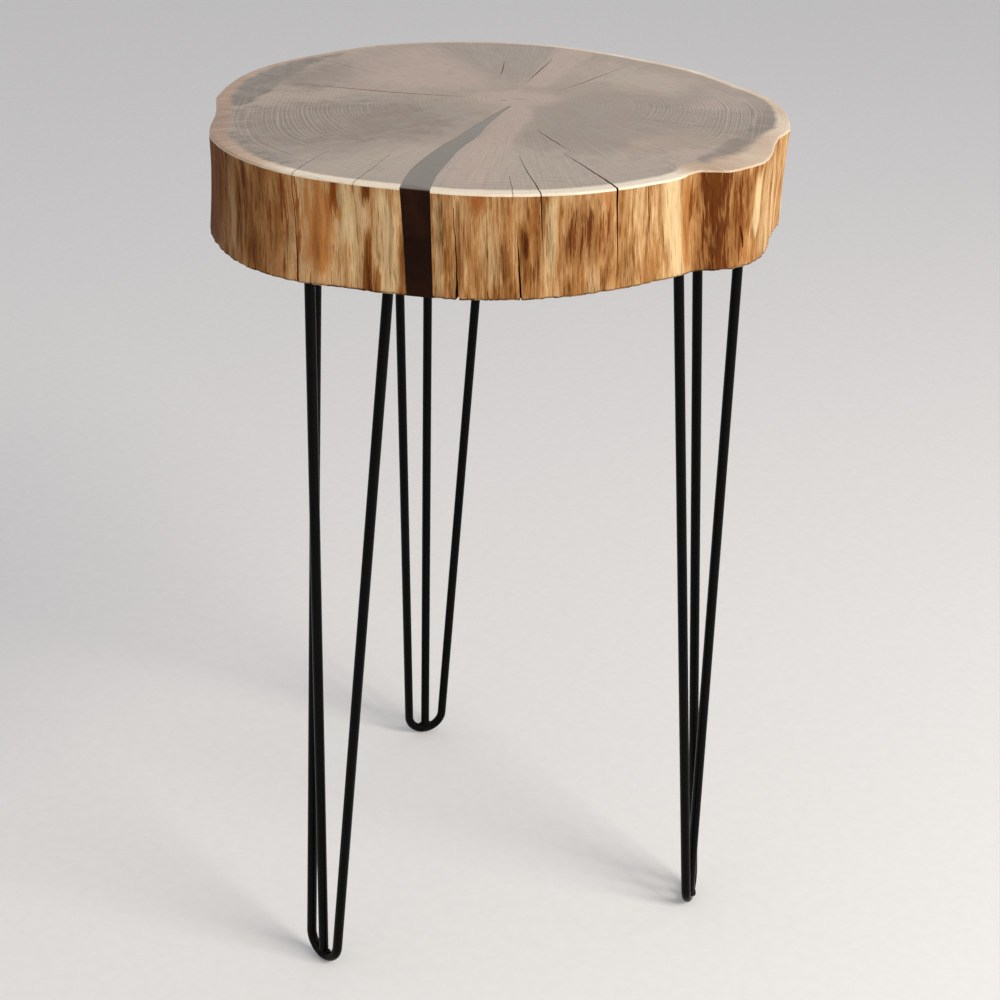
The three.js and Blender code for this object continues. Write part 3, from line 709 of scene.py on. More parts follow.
# The paler layer among these is painted sheen.
for patch, strength, colour in (
    ("grey", 0.64, "#6d6058"), ("brown", 0.85, "#563f2e"), ("painted_sheen", 0.55, "#ac9c8e"),
    ("rosy", 0.62, "#ad9184"), ("stained", 0.66, "#3a281c"), ("dark", 0.96, "#2a190e"),
):
    depth = add(top_wood, "Attribute", {"attribute_name": patch}, out="Fac")
    rough_depth = add(top_wood, "Math", {"operation": "ADD"}, {0: depth, 1: ragged})
    share = add(top_wood, "MapRange", {"interpolation_type": "SMOOTHSTEP"},
                {"Value": rough_depth, 1: -0.6, 2: 0.6, 3: 0.0, 4: strength})
    layers.append((share, colour))
blotches = add(top_wood, "MapRange", None, {"Value": mottle, 1: 0.5, 2: 0.25, 3: 0.0, 4: 0.45})
ring_strength = add(top_wood, "MapRange", None, {"Value": ringed, 1: -1.0, 2: 2.0, 3: 0.22, 4: 0.95})
late_share = add(top_wood, "Math", {"operation": "MULTIPLY"}, {0: late_wood, 1: ring_strength})
early_share = add(top_wood, "Math", {"operation": "MULTIPLY"}, {0: early_wood, 1: ring_strength})
early_share = add(top_wood, "Math", {"operation": "MULTIPLY"}, {0: early_share, 1: 0.5})
rays = add(top_wood, "MapRange", None, {"Value": ray_noise, 1: 0.54, 2: 0.72, 3: 0.0, 4: 0.28})
gaps = add(top_wood, "MapRange", None, {"Value": ray_noise, 1: 0.46, 2: 0.3, 3: 0.0, 4: 0.24})
layers += [(blotches, "#5f4f46"), (late_share, "#493c35"), (early_share, "#b3a191"), (rays, "#c2ae9d"),
           (gaps, "#57483f")]
for share, colour in layers:
    heart = add(top_wood, "Mix", {"data_type": "RGBA"}, {0: share, 6: heart, 7: colour}, out=2)

# Sapwood: straw to cream, with the same rings and rays but fainter.
sap_mix = add(top_wood, "Math", {"operation": "MULTIPLY_ADD"}, {0: clouds, 1: 0.5, 2: sap_tone})
sap = add(top_wood, "ValToRGB", None, {"Fac": sap_mix}, [
    (0.3, "#6a4024"), (0.55, "#8a603f"), (0.85, "#c1a284"), (1.05, "#e6d3b8"), (1.3, "#efe0c8")])
sap_late = add(top_wood, "Math", {"operation": "MULTIPLY"}, {0: late_wood, 1: 0.22})
for share, colour in ((sap_late, "#a07e60"), (rays, "#f0e2cc")):
    sap = add(top_wood, "Mix", {"data_type": "RGBA"}, {0: share, 6: sap, 7: colour}, out=2)
border = add(top_wood, "Math", {"operation": "MULTIPLY_ADD"}, {0: mottle, 1: 0.5, 2: into_heart})
is_heart = add(top_wood, "MapRange", None, {"Value": border, 1: 1.05, 2: 1.55, 3: 0.0, 4: 1.0})
wood_colour = add(top_wood, "Mix", {"data_type": "RGBA"}, {0: is_heart, 6: sap, 7: heart}, out=2)
specks = add(top_wood, "MapRange", None, {"Value": pores, 1: 0.45, 2: 0.25, 3: 0.0, 4: 0.2})
height = add(top_wood, "SeparateXYZ", None, {"Vector": place}, out="Z")
# A painted highlight: a pale cream line along the top arris, where the rim catches the light.
arris_highlight = add(top_wood, "MapRange", None, {
    "Value": height, 1: top_z - 0.2 * MM, 2: top_z - top_arris / 2, 3: 0.0, 4: 0.4})
for share, colour in ((specks, "#3a2c24"), (arris_highlight, "#f0dcbc")):
    wood_colour = add(top_wood, "Mix", {"data_type": "RGBA"}, {0: share, 6: wood_colour, 7: colour}, out=2)
relief = add(top_wood, "Math", {"operation": "MULTIPLY_ADD"}, {0: late_wood, 1: 0.5, 2: ray_noise})
bump = add(top_wood, "Bump", None, {"Strength": 0.5, "Distance": 0.1 * MM, "Height": relief})
sheen_spread = add(top_wood, "MapRange", None, {"Value": mottle, 1: 0.3, 2: 0.7, 3: 0.34, 4: 0.46})
varnished = add(top_wood, "BsdfPrincipled", None, {
    "Base Color": wood_colour, "Roughness": sheen_spread, "Coat Weight": 0.3, "Coat Roughness": 0.28,
    "Normal": bump})
add(top_wood, "OutputMaterial", None, {"Surface": varnished})

# Live edge under the bark: straw coloured sapwood in short torn fibres that run up and down, with
# the ambers and browns that sap, knots and weather left, painted shade on the side turned from the key
# lamp, in the rim's hollow and along the foot, and only a trace of oil on it. The real fibres are
# 0.1 mm thick, drawn 0.9 mm so that they show.
fibre_waver = 1.6 * MM
edge_wood = new_material("peeled_sapwood_edge")
place = add(edge_wood, "Attribute", {"attribute_name": "on_trunk"}, out="Vector")
slowly_up = add(edge_wood, "VectorMath", {"operation": "MULTIPLY"}, {0: place, 1: (1, 1, 0.4)})
waver = add(edge_wood, "TexNoise", None, {
    "Vector": slowly_up, "Scale": 1 / (13 * MM), "Detail": 1.0}, out="Color")
place = add(edge_wood, "VectorMath", {"operation": "MULTIPLY_ADD"}, {
    0: waver, 1: (fibre_waver, fibre_waver, 0), 2: place})
lumps = []
for size, squash, detail in ((0.9, 0.06, 2.0), (2.1, 0.06, 3.0), (6.5, 0.11, 4.0), (26, 0.4, 4.0)):
    drawn_out = add(edge_wood, "VectorMath", {"operation": "MULTIPLY"}, {0: place, 1: (1, 1, squash)})
    lumps.append(add(edge_wood, "TexNoise", None, {
        "Vector": drawn_out, "Scale": 1 / (size * MM), "Detail": detail, "Roughness": 0.6}))
thread, fibre, bundle, blotch = lumps
tone = add(edge_wood, "Attribute", {"attribute_name": "edge_tone"}, out="Fac")
tone = add(edge_wood, "Math", {"operation": "ADD"}, {0: tone, 1: -0.565})
for part, weight in ((thread, 0.36), (fibre, 0.44), (bundle, 0.66), (blotch, 0.66)):
    tone = add(edge_wood, "Math", {"operation": "MULTIPLY_ADD"}, {0: part, 1: weight, 2: tone})
edge_colour = add(edge_wood, "ValToRGB", None, {"Fac": tone}, [
    (0.28, "#6d401c"), (0.4, "#9a6834"), (0.5, "#b6834f"), (0.6, "#ca9f6c"), (0.74, "#e0be92")])
pale_threads = add(edge_wood, "MapRange", None, {"Value": thread, 1: 0.6, 2: 0.72, 3: 0.0, 4: 0.35})
edge_colour = add(edge_wood, "Mix", {"data_type": "RGBA"}, {
    0: pale_threads, 6: edge_colour, 7: "#dfbb8b"}, out=2)
comb = add(edge_wood, "Math", {"operation": "MULTIPLY_ADD"}, {0: thread, 1: 0.8, 2: fibre})
comb = add(edge_wood, "Math", {"operation": "MULTIPLY_ADD"}, {0: bundle, 1: 0.7, 2: comb})
comb = add(edge_wood, "Math", {"operation": "ADD"}, {0: comb, 1: -1.25})
for layer, blend, colour, raggedness, starts, full in (
    ("pale_streak", "MIX", "#e6c896", 1.0, 0.1, 1.8),
    ("amber_streak", "MULTIPLY", "#d9ab76", 4.0, 0.4, 1.5),
    ("brown_streak", "MULTIPLY", "#a4865c", 4.0, 0.4, 1.5),
    ("knot_streak", "MULTIPLY", "#bf9759", 3.5, 0.4, 1.3),
):
    cover = add(edge_wood, "Attribute", {"attribute_name": layer}, out="Fac")
    ragged = add(edge_wood, "Math", {"operation": "MULTIPLY"}, {0: comb, 1: raggedness})
    combed = add(edge_wood, "Math", {"operation": "MULTIPLY_ADD"}, {0: cover, 1: 1.6, 2: ragged})
    amount = add(edge_wood, "MapRange", {"interpolation_type": "SMOOTHSTEP"},
                 {"Value": combed, 1: starts, 2: full, 3: 0.0, 4: 0.95})
    reach = add(edge_wood, "MapRange", None, {"Value": cover, 1: 0.02, 2: 0.2, 3: 0.0, 4: 1.0})
    amount = add(edge_wood, "Math", {"operation": "MULTIPLY"}, {0: amount, 1: reach})
    edge_colour = add(edge_wood, "Mix", {"data_type": "RGBA", "blend_type": blend},
                      {0: amount, 6: edge_colour, 7: colour}, out=2)
# Darkens the live edge where it is weathered, and paints shade on the side turned away from the key lamp.
weathering_and_shade = add(edge_wood, "Attribute", {"attribute_name": "weathering_and_shade"}, out="Fac")
edge_colour = add(edge_wood, "Mix", {"data_type": "RGBA", "blend_type": "MULTIPLY"},
                  {0: weathering_and_shade, 6: edge_colour, 7: "#8c673c"}, out=2)
dark_threads = add(edge_wood, "MapRange", None, {"Value": thread, 1: 0.4, 2: 0.29, 3: 0.0, 4: 0.5})
split_lines = add(edge_wood, "MapRange", None, {"Value": fibre, 1: 0.36, 2: 0.28, 3: 0.0, 4: 0.5})
height = add(edge_wood, "SeparateXYZ", None, {"Vector": place}, out="Z")
frayed = add(edge_wood, "Math", {"operation": "MULTIPLY_ADD"}, {0: fibre, 1: -3 * MM, 2: height})
# The dark line along the foot is partly the sawn edge's own dark brown and partly painted shade under the
# slice's lower edge.
at_foot = add(edge_wood, "MapRange", None, {
    "Value": frayed, 1: underside_z + 0.3 * MM, 2: underside_z - 0.9 * MM, 3: 0.0, 4: 0.92})
for share, colour in ((dark_threads, "#6b3c16"), (split_lines, "#4a260d"), (at_foot, "#20110a")):
    edge_colour = add(edge_wood, "Mix", {"data_type": "RGBA"}, {0: share, 6: edge_colour, 7: colour}, out=2)
raised = add(edge_wood, "Math", {"operation": "MULTIPLY_ADD"}, {0: thread, 1: 0.5, 2: fibre})
bump = add(edge_wood, "Bump", None, {"Strength": 0.6, "Distance": 0.4 * MM, "Height": raised})
peeled = add(edge_wood, "BsdfPrincipled", None, {
    "Base Color": edge_colour, "Roughness": 0.65, "Specular IOR Level": 0.1, "Normal": bump})
add(edge_wood, "OutputMaterial", None, {"Surface": peeled})

# Underside as it left the saw, bare and a little furry, with the saw's shallow arcs across it. Real
# arcs are a few millimetres apart, drawn about 31 mm so that they show. The wave repeats 20 / (2 pi)
# times in each of its own units.
saw_spacing = 10 * math.pi * MM
sawn_wood = new_material("sawn_end_grain")
place = add(sawn_wood, "TexCoord", out="Object")
grown_out = add(sawn_wood, "Attribute", {"attribute_name": "grown"}, out="Fac")
into_heart = add(sawn_wood, "Attribute", {"attribute_name": "into_heart"}, out="Fac")
sway = add(sawn_wood, "TexNoise", None, {"Vector": place, "Scale": 1 / (45 * MM), "Detail": 3.0})
swayed = add(sawn_wood, "Math", {"operation": "MULTIPLY_ADD"}, {0: sway, 1: 9 * MM, 2: grown_out})
ring_count = add(sawn_wood, "Math", {"operation": "DIVIDE"}, {0: swayed, 1: ring_spacing})
ring_place = add(sawn_wood, "Math", {"operation": "FRACT"}, {0: ring_count})
fuzz = add(sawn_wood, "TexNoise", None, {"Vector": place, "Scale": 1 / (1.5 * MM), "Detail": 3.0})
beside = add(sawn_wood, "VectorMath", {"operation": "ADD"}, {0: place, 1: (0.9, 0.5, 0)})
saw = add(sawn_wood, "TexWave", {"wave_type": "RINGS", "rings_direction": "Z"}, {
    "Vector": beside, "Scale": 2 * math.pi / 20 / saw_spacing, "Distortion": 1.2, "Detail": 2.0}, out="Fac")
heart_share = add(sawn_wood, "Math", {"operation": "MULTIPLY"}, {0: ring_place, 1: 0.4})
heart = add(sawn_wood, "Mix", {"data_type": "RGBA"}, {0: heart_share, 6: "#8f735c", 7: "#634a39"}, out=2)
sap_share = add(sawn_wood, "Math", {"operation": "MULTIPLY"}, {0: ring_place, 1: 0.3})
sap = add(sawn_wood, "Mix", {"data_type": "RGBA"}, {0: sap_share, 6: "#cbb08a", 7: "#a88658"}, out=2)
is_heart = add(sawn_wood, "MapRange", None, {"Value": into_heart, 1: 0.9, 2: 1.1, 3: 0.0, 4: 1.0})
sawn_colour = add(sawn_wood, "Mix", {"data_type": "RGBA"}, {0: is_heart, 6: sap, 7: heart}, out=2)
fuzz_share = add(sawn_wood, "Math", {"operation": "MULTIPLY"}, {0: fuzz, 1: 0.35})
sawn_colour = add(sawn_wood, "Mix", {"data_type": "RGBA"}, {
    0: fuzz_share, 6: sawn_colour, 7: "#4e3a2b"}, out=2)
relief = add(sawn_wood, "Math", {"operation": "MULTIPLY_ADD"}, {0: saw, 1: 0.8, 2: fuzz})
bump = add(sawn_wood, "Bump", None, {"Strength": 0.8, "Distance": 0.5 * MM, "Height": relief})
sawn = add(sawn_wood, "BsdfPrincipled", None, {"Base Color": sawn_colour, "Roughness": 0.85, "Normal": bump})
add(sawn_wood, "OutputMaterial", None, {"Surface": sawn})

# Walls of the checks: torn dry fibre that no varnish reached, in a dark brown that paints in the shade deep
# inside the narrow checks.
check_wood = new_material("torn_check_wall")
place = add(check_wood, "TexCoord", out="Object")
drawn_out = add(check_wood, "VectorMath", {"operation": "MULTIPLY"}, {0: place, 1: (1, 1, 0.1)})
torn_fibre = add(check_wood, "TexNoise", None, {"Vector": drawn_out, "Scale": 1 / (2 * MM), "Detail": 3.0})
wall = add(check_wood, "ValToRGB", None, {"Fac": torn_fibre}, [(0.3, "#4a220c"), (0.7, "#7a3f1a")])
bump = add(check_wood, "Bump", None, {"Strength": 0.6, "Distance": 0.4 * MM, "Height": torn_fibre})
torn_wall = add(check_wood, "BsdfPrincipled", None, {
    "Base Color": wall, "Roughness": 0.9, "Specular IOR Level": 0.0, "Normal": bump})
add(check_wood, "OutputMaterial", None, {"Surface": torn_wall})


def dress(thing, materials, crease=35):
    """Gives a mesh its materials and smooth shading, with edges sharper than the crease kept crisp."""
    for number, wanted in enumerate(materials):
        if number < len(thing.data.materials):
            thing.data.materials[number] = wanted
        else:
            thing.data.materials.append(wanted)
    thing.data.polygons.foreach_set("use_smooth", np.ones(len(thing.data.polygons), bool))
    thing.data.set_sharp_from_angle(angle=math.radians(crease))


dress(slab, [top_wood, edge_wood, sawn_wood, check_wood], 50)
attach(slab, "root")
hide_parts("trunk_slice")

# CAST RESIN
# Dark brown resin poured into the slice's one wide crack, right through the thickness, from near
# the pith to the rim. It was sanded flush with the wood above and at the edge, then polished.
resin_clearance = 0.02 * MM
resin_below_wood = 0.06 * MM
resin_arris = 1.2 * MM
resin_row_spacing = 6 * MM
wood_worn = 0.9 * MM


def sanded_away(height_share):
    """Depth of the resin's end face below the outline: the flutes go on over it, without the fibres."""
    return flutes(height_share) + wood_worn * (1 - 0.6 * height_share**8)


resin_heights = np.arange(1, thickness / MM - 2, resin_row_spacing / MM) * MM
resin_rings = [edge_ring(resin_below_wood, resin_arris / 2, sanded_away)]
resin_rings += [edge_ring(height, 0, sanded_away) for height in resin_heights]
resin_rings += arris_rings(thickness - resin_below_wood, resin_arris, sanded_away)
resin = mesh_object("resin_river", np.concatenate(resin_rings), skin(resin_rings))
outward_faces(resin)
carve(resin, [crack_prism("resin_mould", -resin_clearance)], "INTERSECT")

# Polyester casting resin, tinted brown: almost black in its depth, with a faint cloud of lighter
# brown where the tint did not mix. The top face has the table's varnish over it, glossier here than
# on the wood. The end face in the live edge was only sanded, and stays dull.
resin_faces = []
for name, rough_low, rough_high, gloss in (
    ("varnished_casting_resin", 0.14, 0.24, 0.76),
    ("sanded_casting_resin", 0.4, 0.55, 0.05),
):
    cast_resin = new_material(name)
    place = add(cast_resin, "TexCoord", out="Object")
    cloud = add(cast_resin, "TexNoise", None, {
        "Vector": place, "Scale": 1 / (26 * MM), "Detail": 3.0, "Distortion": 0.8})
    tint = add(cast_resin, "ValToRGB", None, {"Fac": cloud}, [
        (0.32, "#190b05"), (0.55, "#231108"), (0.75, "#351c0f")])
    swirl = add(cast_resin, "TexNoise", None, {"Vector": place, "Scale": 1 / (12 * MM), "Detail": 2.0})
    bump = add(cast_resin, "Bump", None, {"Strength": 0.25, "Distance": 0.15 * MM, "Height": swirl})
    rubbed = add(cast_resin, "MapRange", None, {"Value": cloud, 1: 0.3, 2: 0.7, 3: rough_low, 4: rough_high})
    finished = add(cast_resin, "BsdfPrincipled", None, {
        "Base Color": tint, "Roughness": rubbed, "IOR": 1.5, "Specular IOR Level": gloss, "Normal": bump})
    add(cast_resin, "OutputMaterial", None, {"Surface": finished})
    resin_faces.append(cast_resin)
resin_tilts = np.array([p.normal.z for p in resin.data.polygons])
resin.data.polygons.foreach_set("material_index", np.where(resin_tilts > 0.5, 0, 1).astype(np.int32))
dress(resin, resin_faces, 12)
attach(resin, "root")
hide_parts("resin_fill")

# HAIRPIN LEGS
# Each leg is a steel rod, 8 mm thick, bent into a narrow U, and a straight rod that stands on the
# middle of the bend. All three ends are fillet welded to the plate, the foot of the straight rod
# to the bend, and the whole leg is powder coated black.
rod_radius = 4 * MM
rod_axis_low = rod_radius + 0.01 * MM
rod_top = 606 * MM
rod_spread = 82 * MM
rod_setback = 39 * MM
bend_radius = 17 * MM
rod_sides = 28
bend_steps = 36
bead_radius = 1.9 * MM
bead_sides = 10
bead_steps = 72
bead_ripples = 15
bead_ripple_share = 0.13
foot_bead_radius = 1.7 * MM
middle_rod_rings = 12
# Each leg's name, the bearing of its foot and the way it faces in degrees, and how far out it stands.
legs = [("rear", 108, 110.5, 204), ("left", 230.7, 224, 209), ("right", 339.6, 345.5, 194)]


def leg_frame(bearing, facing, reach):
    """Where a leg stands: its foot at the origin, and +Y pointing out from under the table."""
    turn, distance = math.radians(bearing), reach * MM
    foot = Vector((edge_middle[0] + distance * math.cos(turn), edge_middle[1] + distance * math.sin(turn), 0))
    return Matrix.Translation(foot) @ Matrix.Rotation(math.radians(facing - 90), 4, "Z")


def sweep(path, radii, sides, closed=False):
    """Rings of points round a path, each square to it, without twist."""
    path = np.array(path, float)
    before = np.roll(path, 1, axis=0)
    after = np.roll(path, -1, axis=0)
    if not closed:
        before[0], after[-1] = path[0], path[-1]
    ahead = after - before
    ahead /= np.linalg.norm(ahead, axis=1)[:, None]
    side = np.cross(ahead[0], [0.3, 1.0, 0.2])
    around = np.arange(sides) * 2 * math.pi / sides
    swept = []
    for place, direction, radius in zip(path, ahead, radii):
        side = side - direction * side.dot(direction)
        side /= np.linalg.norm(side)
        other = np.cross(direction, side)
        swept.append(place + radius * (np.outer(np.cos(around), side) + np.outer(np.sin(around), other)))
    return swept


def bent_rod_path():
    """Centreline of the bent rod, from the top of one straight round the bend to the top of the other."""
    up = np.array([0, -rod_setback, rod_top - rod_axis_low])
    length = np.linalg.norm(up)
    up /= length

    def place(across, along):
        """Place in the bent rod's own plane, across it and along its straights."""
        return np.array([across, 0, rod_axis_low]) + up * along

    half_spread = rod_spread / 2
    to_top = math.hypot(half_spread, length - bend_radius)
    start = math.atan2(length - bend_radius, half_spread) - math.acos(bend_radius / to_top)
    angles = [start - (math.pi + 2 * start) * i / bend_steps for i in range(bend_steps + 1)]
    bend = [place(bend_radius * math.cos(a), bend_radius * (1 + math.sin(a))) for a in angles]
    return [place(half_spread, length), *bend, place(-half_spread, length)]


def cut_level(ring, along, level):
    """Moves the points of a rod's last ring along the rod until they are all at that height."""
    return ring + np.outer((level - ring[:, 2]) / along[2], along)


def bead(path, radius, phase):
    """Closed weld bead along a path, with the ripples of its pool."""
    ripples = np.linspace(0, 2 * math.pi * bead_ripples, len(path), endpoint=False)
    swell = 1 + bead_ripple_share * np.sin(ripples + phase)
    rings = sweep(path, radius * swell, bead_sides, closed=True)
    faces = skin([*rings, rings[0]], closed_ends=False)
    count = len(rings) * bead_sides
    return np.concatenate(rings), [tuple(i % count for i in face) for face in faces]


def joined(parts):
    """One list of points and faces from several."""
    points, faces, start = [], [], 0
    for part_points, part_faces in parts:
        points.append(part_points)
        faces += [tuple(i + start for i in face) for face in part_faces]
        start += len(part_points)
    return np.concatenate(points), faces


# Polyester powder coat over mild steel: near black, half gloss, with the fine orange peel that
# baking leaves. The real peel is 0.3 mm across, drawn 1 mm so that it shows.
peel_size = 1.0 * MM
powder_coat = new_material("black_powder_coated_steel")
place = add(powder_coat, "TexCoord", out="Object")
peel = add(powder_coat, "TexNoise", None, {"Vector": place, "Scale": 1 / peel_size, "Detail": 1.0})
handling = add(powder_coat, "TexNoise", None, {"Vector": place, "Scale": 1 / (60 * MM), "Detail": 3.0})
coat_colour = add(powder_coat, "ValToRGB", None, {"Fac": handling}, [(0.3, "#020202"), (0.7, "#050404")])
coat_gloss = add(powder_coat, "MapRange", None, {"Value": handling, 1: 0.3, 2: 0.7, 3: 0.22, 4: 0.32})
bump = add(powder_coat, "Bump", None, {"Strength": 0.3, "Distance": 0.1 * MM, "Height": peel})
baked = add(powder_coat, "BsdfPrincipled", None, {
    "Base Color": coat_colour, "Roughness": coat_gloss, "Specular IOR Level": 0.07, "Normal": bump})
add(powder_coat, "OutputMaterial", None, {"Surface": baked})

for leg, bearing, facing, reach in legs:
    stand = leg_frame(bearing, facing, reach)

    path = bent_rod_path()
    rings = sweep(path, [rod_radius] * len(path), rod_sides)
    rings[0] = cut_level(rings[0], path[0] - path[1], rod_top)
    rings[-1] = cut_level(rings[-1], path[-1] - path[-2], rod_top)
    bent_rod = mesh_object(f"{leg}_hairpin_rod", np.concatenate(rings), skin(rings))

    foot_level = 1.2 * rod_radius
    path = [(0, 0, z) for z in np.linspace(foot_level, rod_top, middle_rod_rings)]
    rings = sweep(path, [rod_radius] * len(path), rod_sides)
    middle_rod = mesh_object(f"{leg}_middle_rod_upright", np.concatenate(rings), skin(rings))

    # The foot's bead follows the line where the upright rod meets the bend.
    around = np.arange(bead_steps) * 2 * math.pi / bead_steps
    foot_x, foot_y = (rod_radius + 0.5 * MM) * np.cos(around), (rod_radius + 0.1 * MM) * np.sin(around)
    on_bend = bend_radius - np.sqrt(bend_radius**2 - foot_x**2)
    foot_z = rod_radius + np.sqrt(np.maximum(rod_radius**2 - foot_y**2, 0)) + on_bend
    foot_path = np.c_[foot_x, foot_y * 0.94, np.maximum(foot_z, 1.35 * rod_radius)]
    beads = [bead(foot_path, foot_bead_radius, 0)]
    for x, y in ((-rod_spread / 2, -rod_setback), (0, 0), (rod_spread / 2, -rod_setback)):
        ring_reach = rod_radius + bead_radius / 3
        ring_path = np.c_[x + ring_reach * np.cos(around), y + ring_reach * np.sin(around),
                          np.full(bead_steps, rod_top - bead_radius / 3)]
        beads.append(bead(ring_path, bead_radius, x * 900))
    welds = mesh_object(f"{leg}_leg_weld_beads", *joined(beads))

    for thing in (bent_rod, middle_rod, welds):
        thing.data.transform(stand)
        outward_faces(thing)
        dress(thing, [powder_coat], 50)
        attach(thing, "root")
    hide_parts(f"{leg}_bent_rod")
    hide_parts(f"{leg}_middle_rod")

# MOUNTING PLATES
# Plate steel, 4 mm thick, laser cut with a narrow nose over each middle rod and five screw
# holes, its edges broken by hand, and coated black with the rods.
plate_thickness = 4 * MM
plate_outline = [(-52.5, -63), (52.5, -63), (52.5, -32), (22, 10), (-22, 10), (-52.5, -32)]
plate_corner = 8 * MM
corner_steps = 8
broken_edge = 0.5 * MM
hole_places = [(-28, -53), (28, -53), (0, -26), (-20, -6), (20, -6)]
hole_radius = 2.8 * MM
hole_sides = 32


def rounded_outline():
    """The plate's outline with its corners rounded."""
    corners = [Vector(c) * MM for c in plate_outline]
    outline = []
    for number, corner in enumerate(corners):
        before, after = corners[number - 1], corners[(number + 1) % len(corners)]
        start = corner + (before - corner).normalized() * plate_corner
        end = corner + (after - corner).normalized() * plate_corner
        for step in range(corner_steps + 1):
            t = step / corner_steps
            outline.append(start * (1 - t) ** 2 + corner * 2 * t * (1 - t) + end * t * t)
    return outline


def inset_outline(outline, inset):
    """A closed outline moved inwards. One that runs clockwise moves outwards."""
    moved = []
    for number, point in enumerate(outline):
        ahead = (outline[(number + 1) % len(outline)] - outline[number - 1]).normalized()
        moved.append(point + Vector((-ahead.y, ahead.x)) * inset)
    return moved


def plate_mesh(name):
    """Plate with broken edges all round its outline and its holes, its underside at z = 0."""
    loops = [rounded_outline()]
    for x, y in hole_places:
        around = [-2 * math.pi * i / hole_sides for i in range(hole_sides)]
        loops.append([
            Vector((x * MM + hole_radius * math.cos(a), y * MM + hole_radius * math.sin(a))) for a in around])
    shell = bmesh.new()
    upper_break = plate_thickness - broken_edge
    levels = [(0, broken_edge), (broken_edge, 0), (upper_break, 0), (plate_thickness, broken_edge)]
    bottom_edges, top_edges = [], []
    for loop in loops:
        rings = [[shell.verts.new((*p, z)) for p in inset_outline(loop, inset)] for z, inset in levels]
        for lower, upper in zip(rings, rings[1:]):
            for i in range(len(loop)):
                j = (i + 1) % len(loop)
                shell.faces.new((lower[i], lower[j], upper[j], upper[i]))
        for ring, edges in ((rings[0], bottom_edges), (rings[-1], top_edges)):
            edges += [shell.edges.get((ring[i], ring[(i + 1) % len(ring)])) for i in range(len(ring))]
    for edges in (bottom_edges, top_edges):
        bmesh.ops.triangle_fill(shell, use_beauty=True, edges=edges)
    bmesh.ops.recalc_face_normals(shell, faces=shell.faces[:])
    data = bpy.data.meshes.new(name)
    shell.to_mesh(data)
    shell.free()
    return data


for leg, bearing, facing, reach in legs:
    plate = bpy.data.objects.new(f"{leg}_plate_laser_cut", plate_mesh(f"{leg}_plate"))
    bpy.context.scene.collection.objects.link(plate)
    plate.data.transform(leg_frame(bearing, facing, reach) @ Matrix.Translation((0, 0, rod_top)))
    dress(plate, [powder_coat], 30)
    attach(plate, "root")
    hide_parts(f"{leg}_mounting_plate")

# WOOD SCREWS
# Pan head screws, 4.8 by 32 mm, five through each plate up into the slice. Rolled from steel
# wire, with a cross recess and a zinc plating that is faintly yellow.
screw_radius = 2.4 * MM
screw_core = 1.6 * MM
screw_length = 32 * MM
screw_point = 6 * MM
plain_shank = 8 * MM
thread_pitch = 2.3 * MM
thread_rows = 6
screw_sides = 28
head_profile = [(0.35, -3.0), (2.6, -2.85), (3.9, -2.2), (4.55, -1.2), (4.7, -0.5), (4.7, -0.05), (2.3, 0.0)]
recess_span = 4.8 * MM
recess_width = 1.0 * MM
recess_depth = 1.9 * MM


def screw_mesh():
    """Screw that points up, its head bearing on z = 0 from below, with a rolled thread."""
    around = np.arange(screw_sides) * 2 * math.pi / screw_sides
    rings = []
    for radius, z in head_profile:
        level = np.full(screw_sides, z * MM)
        rings.append(np.c_[np.cos(around) * radius * MM, np.sin(around) * radius * MM, level])
    for z in np.arange(plain_shank, screw_length, thread_pitch / thread_rows):
        to_point = min((screw_length - z) / screw_point, 1)
        turned = (z / thread_pitch - around / (2 * math.pi)) % 1
        crest = np.clip(1 - np.abs(turned - 0.5) * 3.2, 0, 1) * min((z - plain_shank) / thread_pitch, 1)
        radius = (screw_core + (screw_radius - screw_core) * crest) * max(to_point, 0.08)
        rings.append(np.c_[np.cos(around) * radius, np.sin(around) * radius, np.full(screw_sides, z)])
    screw = mesh_object("screw_blank", np.concatenate(rings), skin(rings))
    outward_faces(screw)
    wings = []
    for turn in (0, math.pi / 2):
        ahead = np.array([math.cos(turn), math.sin(turn), 0])
        across = np.array([-ahead[1], ahead[0], 0])
        wing_rings = []
        for z, span in ((-4 * MM, recess_span), (-3 * MM + recess_depth, recess_span * 0.45)):
            wing_rings.append(np.array([ahead * span / 2 * a + across * recess_width / 2 * b + [0, 0, z]
                                        for a, b in ((-1, -1), (1, -1), (1, 1), (-1, 1))]))
        wings.append(mesh_object(f"recess_wing_{len(wings)}", np.concatenate(wing_rings), skin(wing_rings)))
    carve(screw, wings, "DIFFERENCE")
    return screw


# Zinc plate over steel: pale grey metal, bright on the worn high spots, a little yellow and
# clouded in between.
zinc = new_material("zinc_plated_steel")
place = add(zinc, "TexCoord", out="Object")
cloud = add(zinc, "TexNoise", None, {"Vector": place, "Scale": 1 / (2.5 * MM), "Detail": 3.0})
plating = add(zinc, "ValToRGB", None, {"Fac": cloud}, [(0.3, "#a39d8c"), (0.6, "#b9b8b4"), (0.8, "#c9ccd0")])
rub = add(zinc, "MapRange", None, {"Value": cloud, 1: 0.3, 2: 0.7, 3: 0.42, 4: 0.26})
bump = add(zinc, "Bump", None, {"Strength": 0.3, "Distance": 0.05 * MM, "Height": cloud})
plated = add(zinc, "BsdfPrincipled", None, {
    "Base Color": plating, "Metallic": 1.0, "Roughness": rub, "Normal": bump})
add(zinc, "OutputMaterial", None, {"Surface": plated})

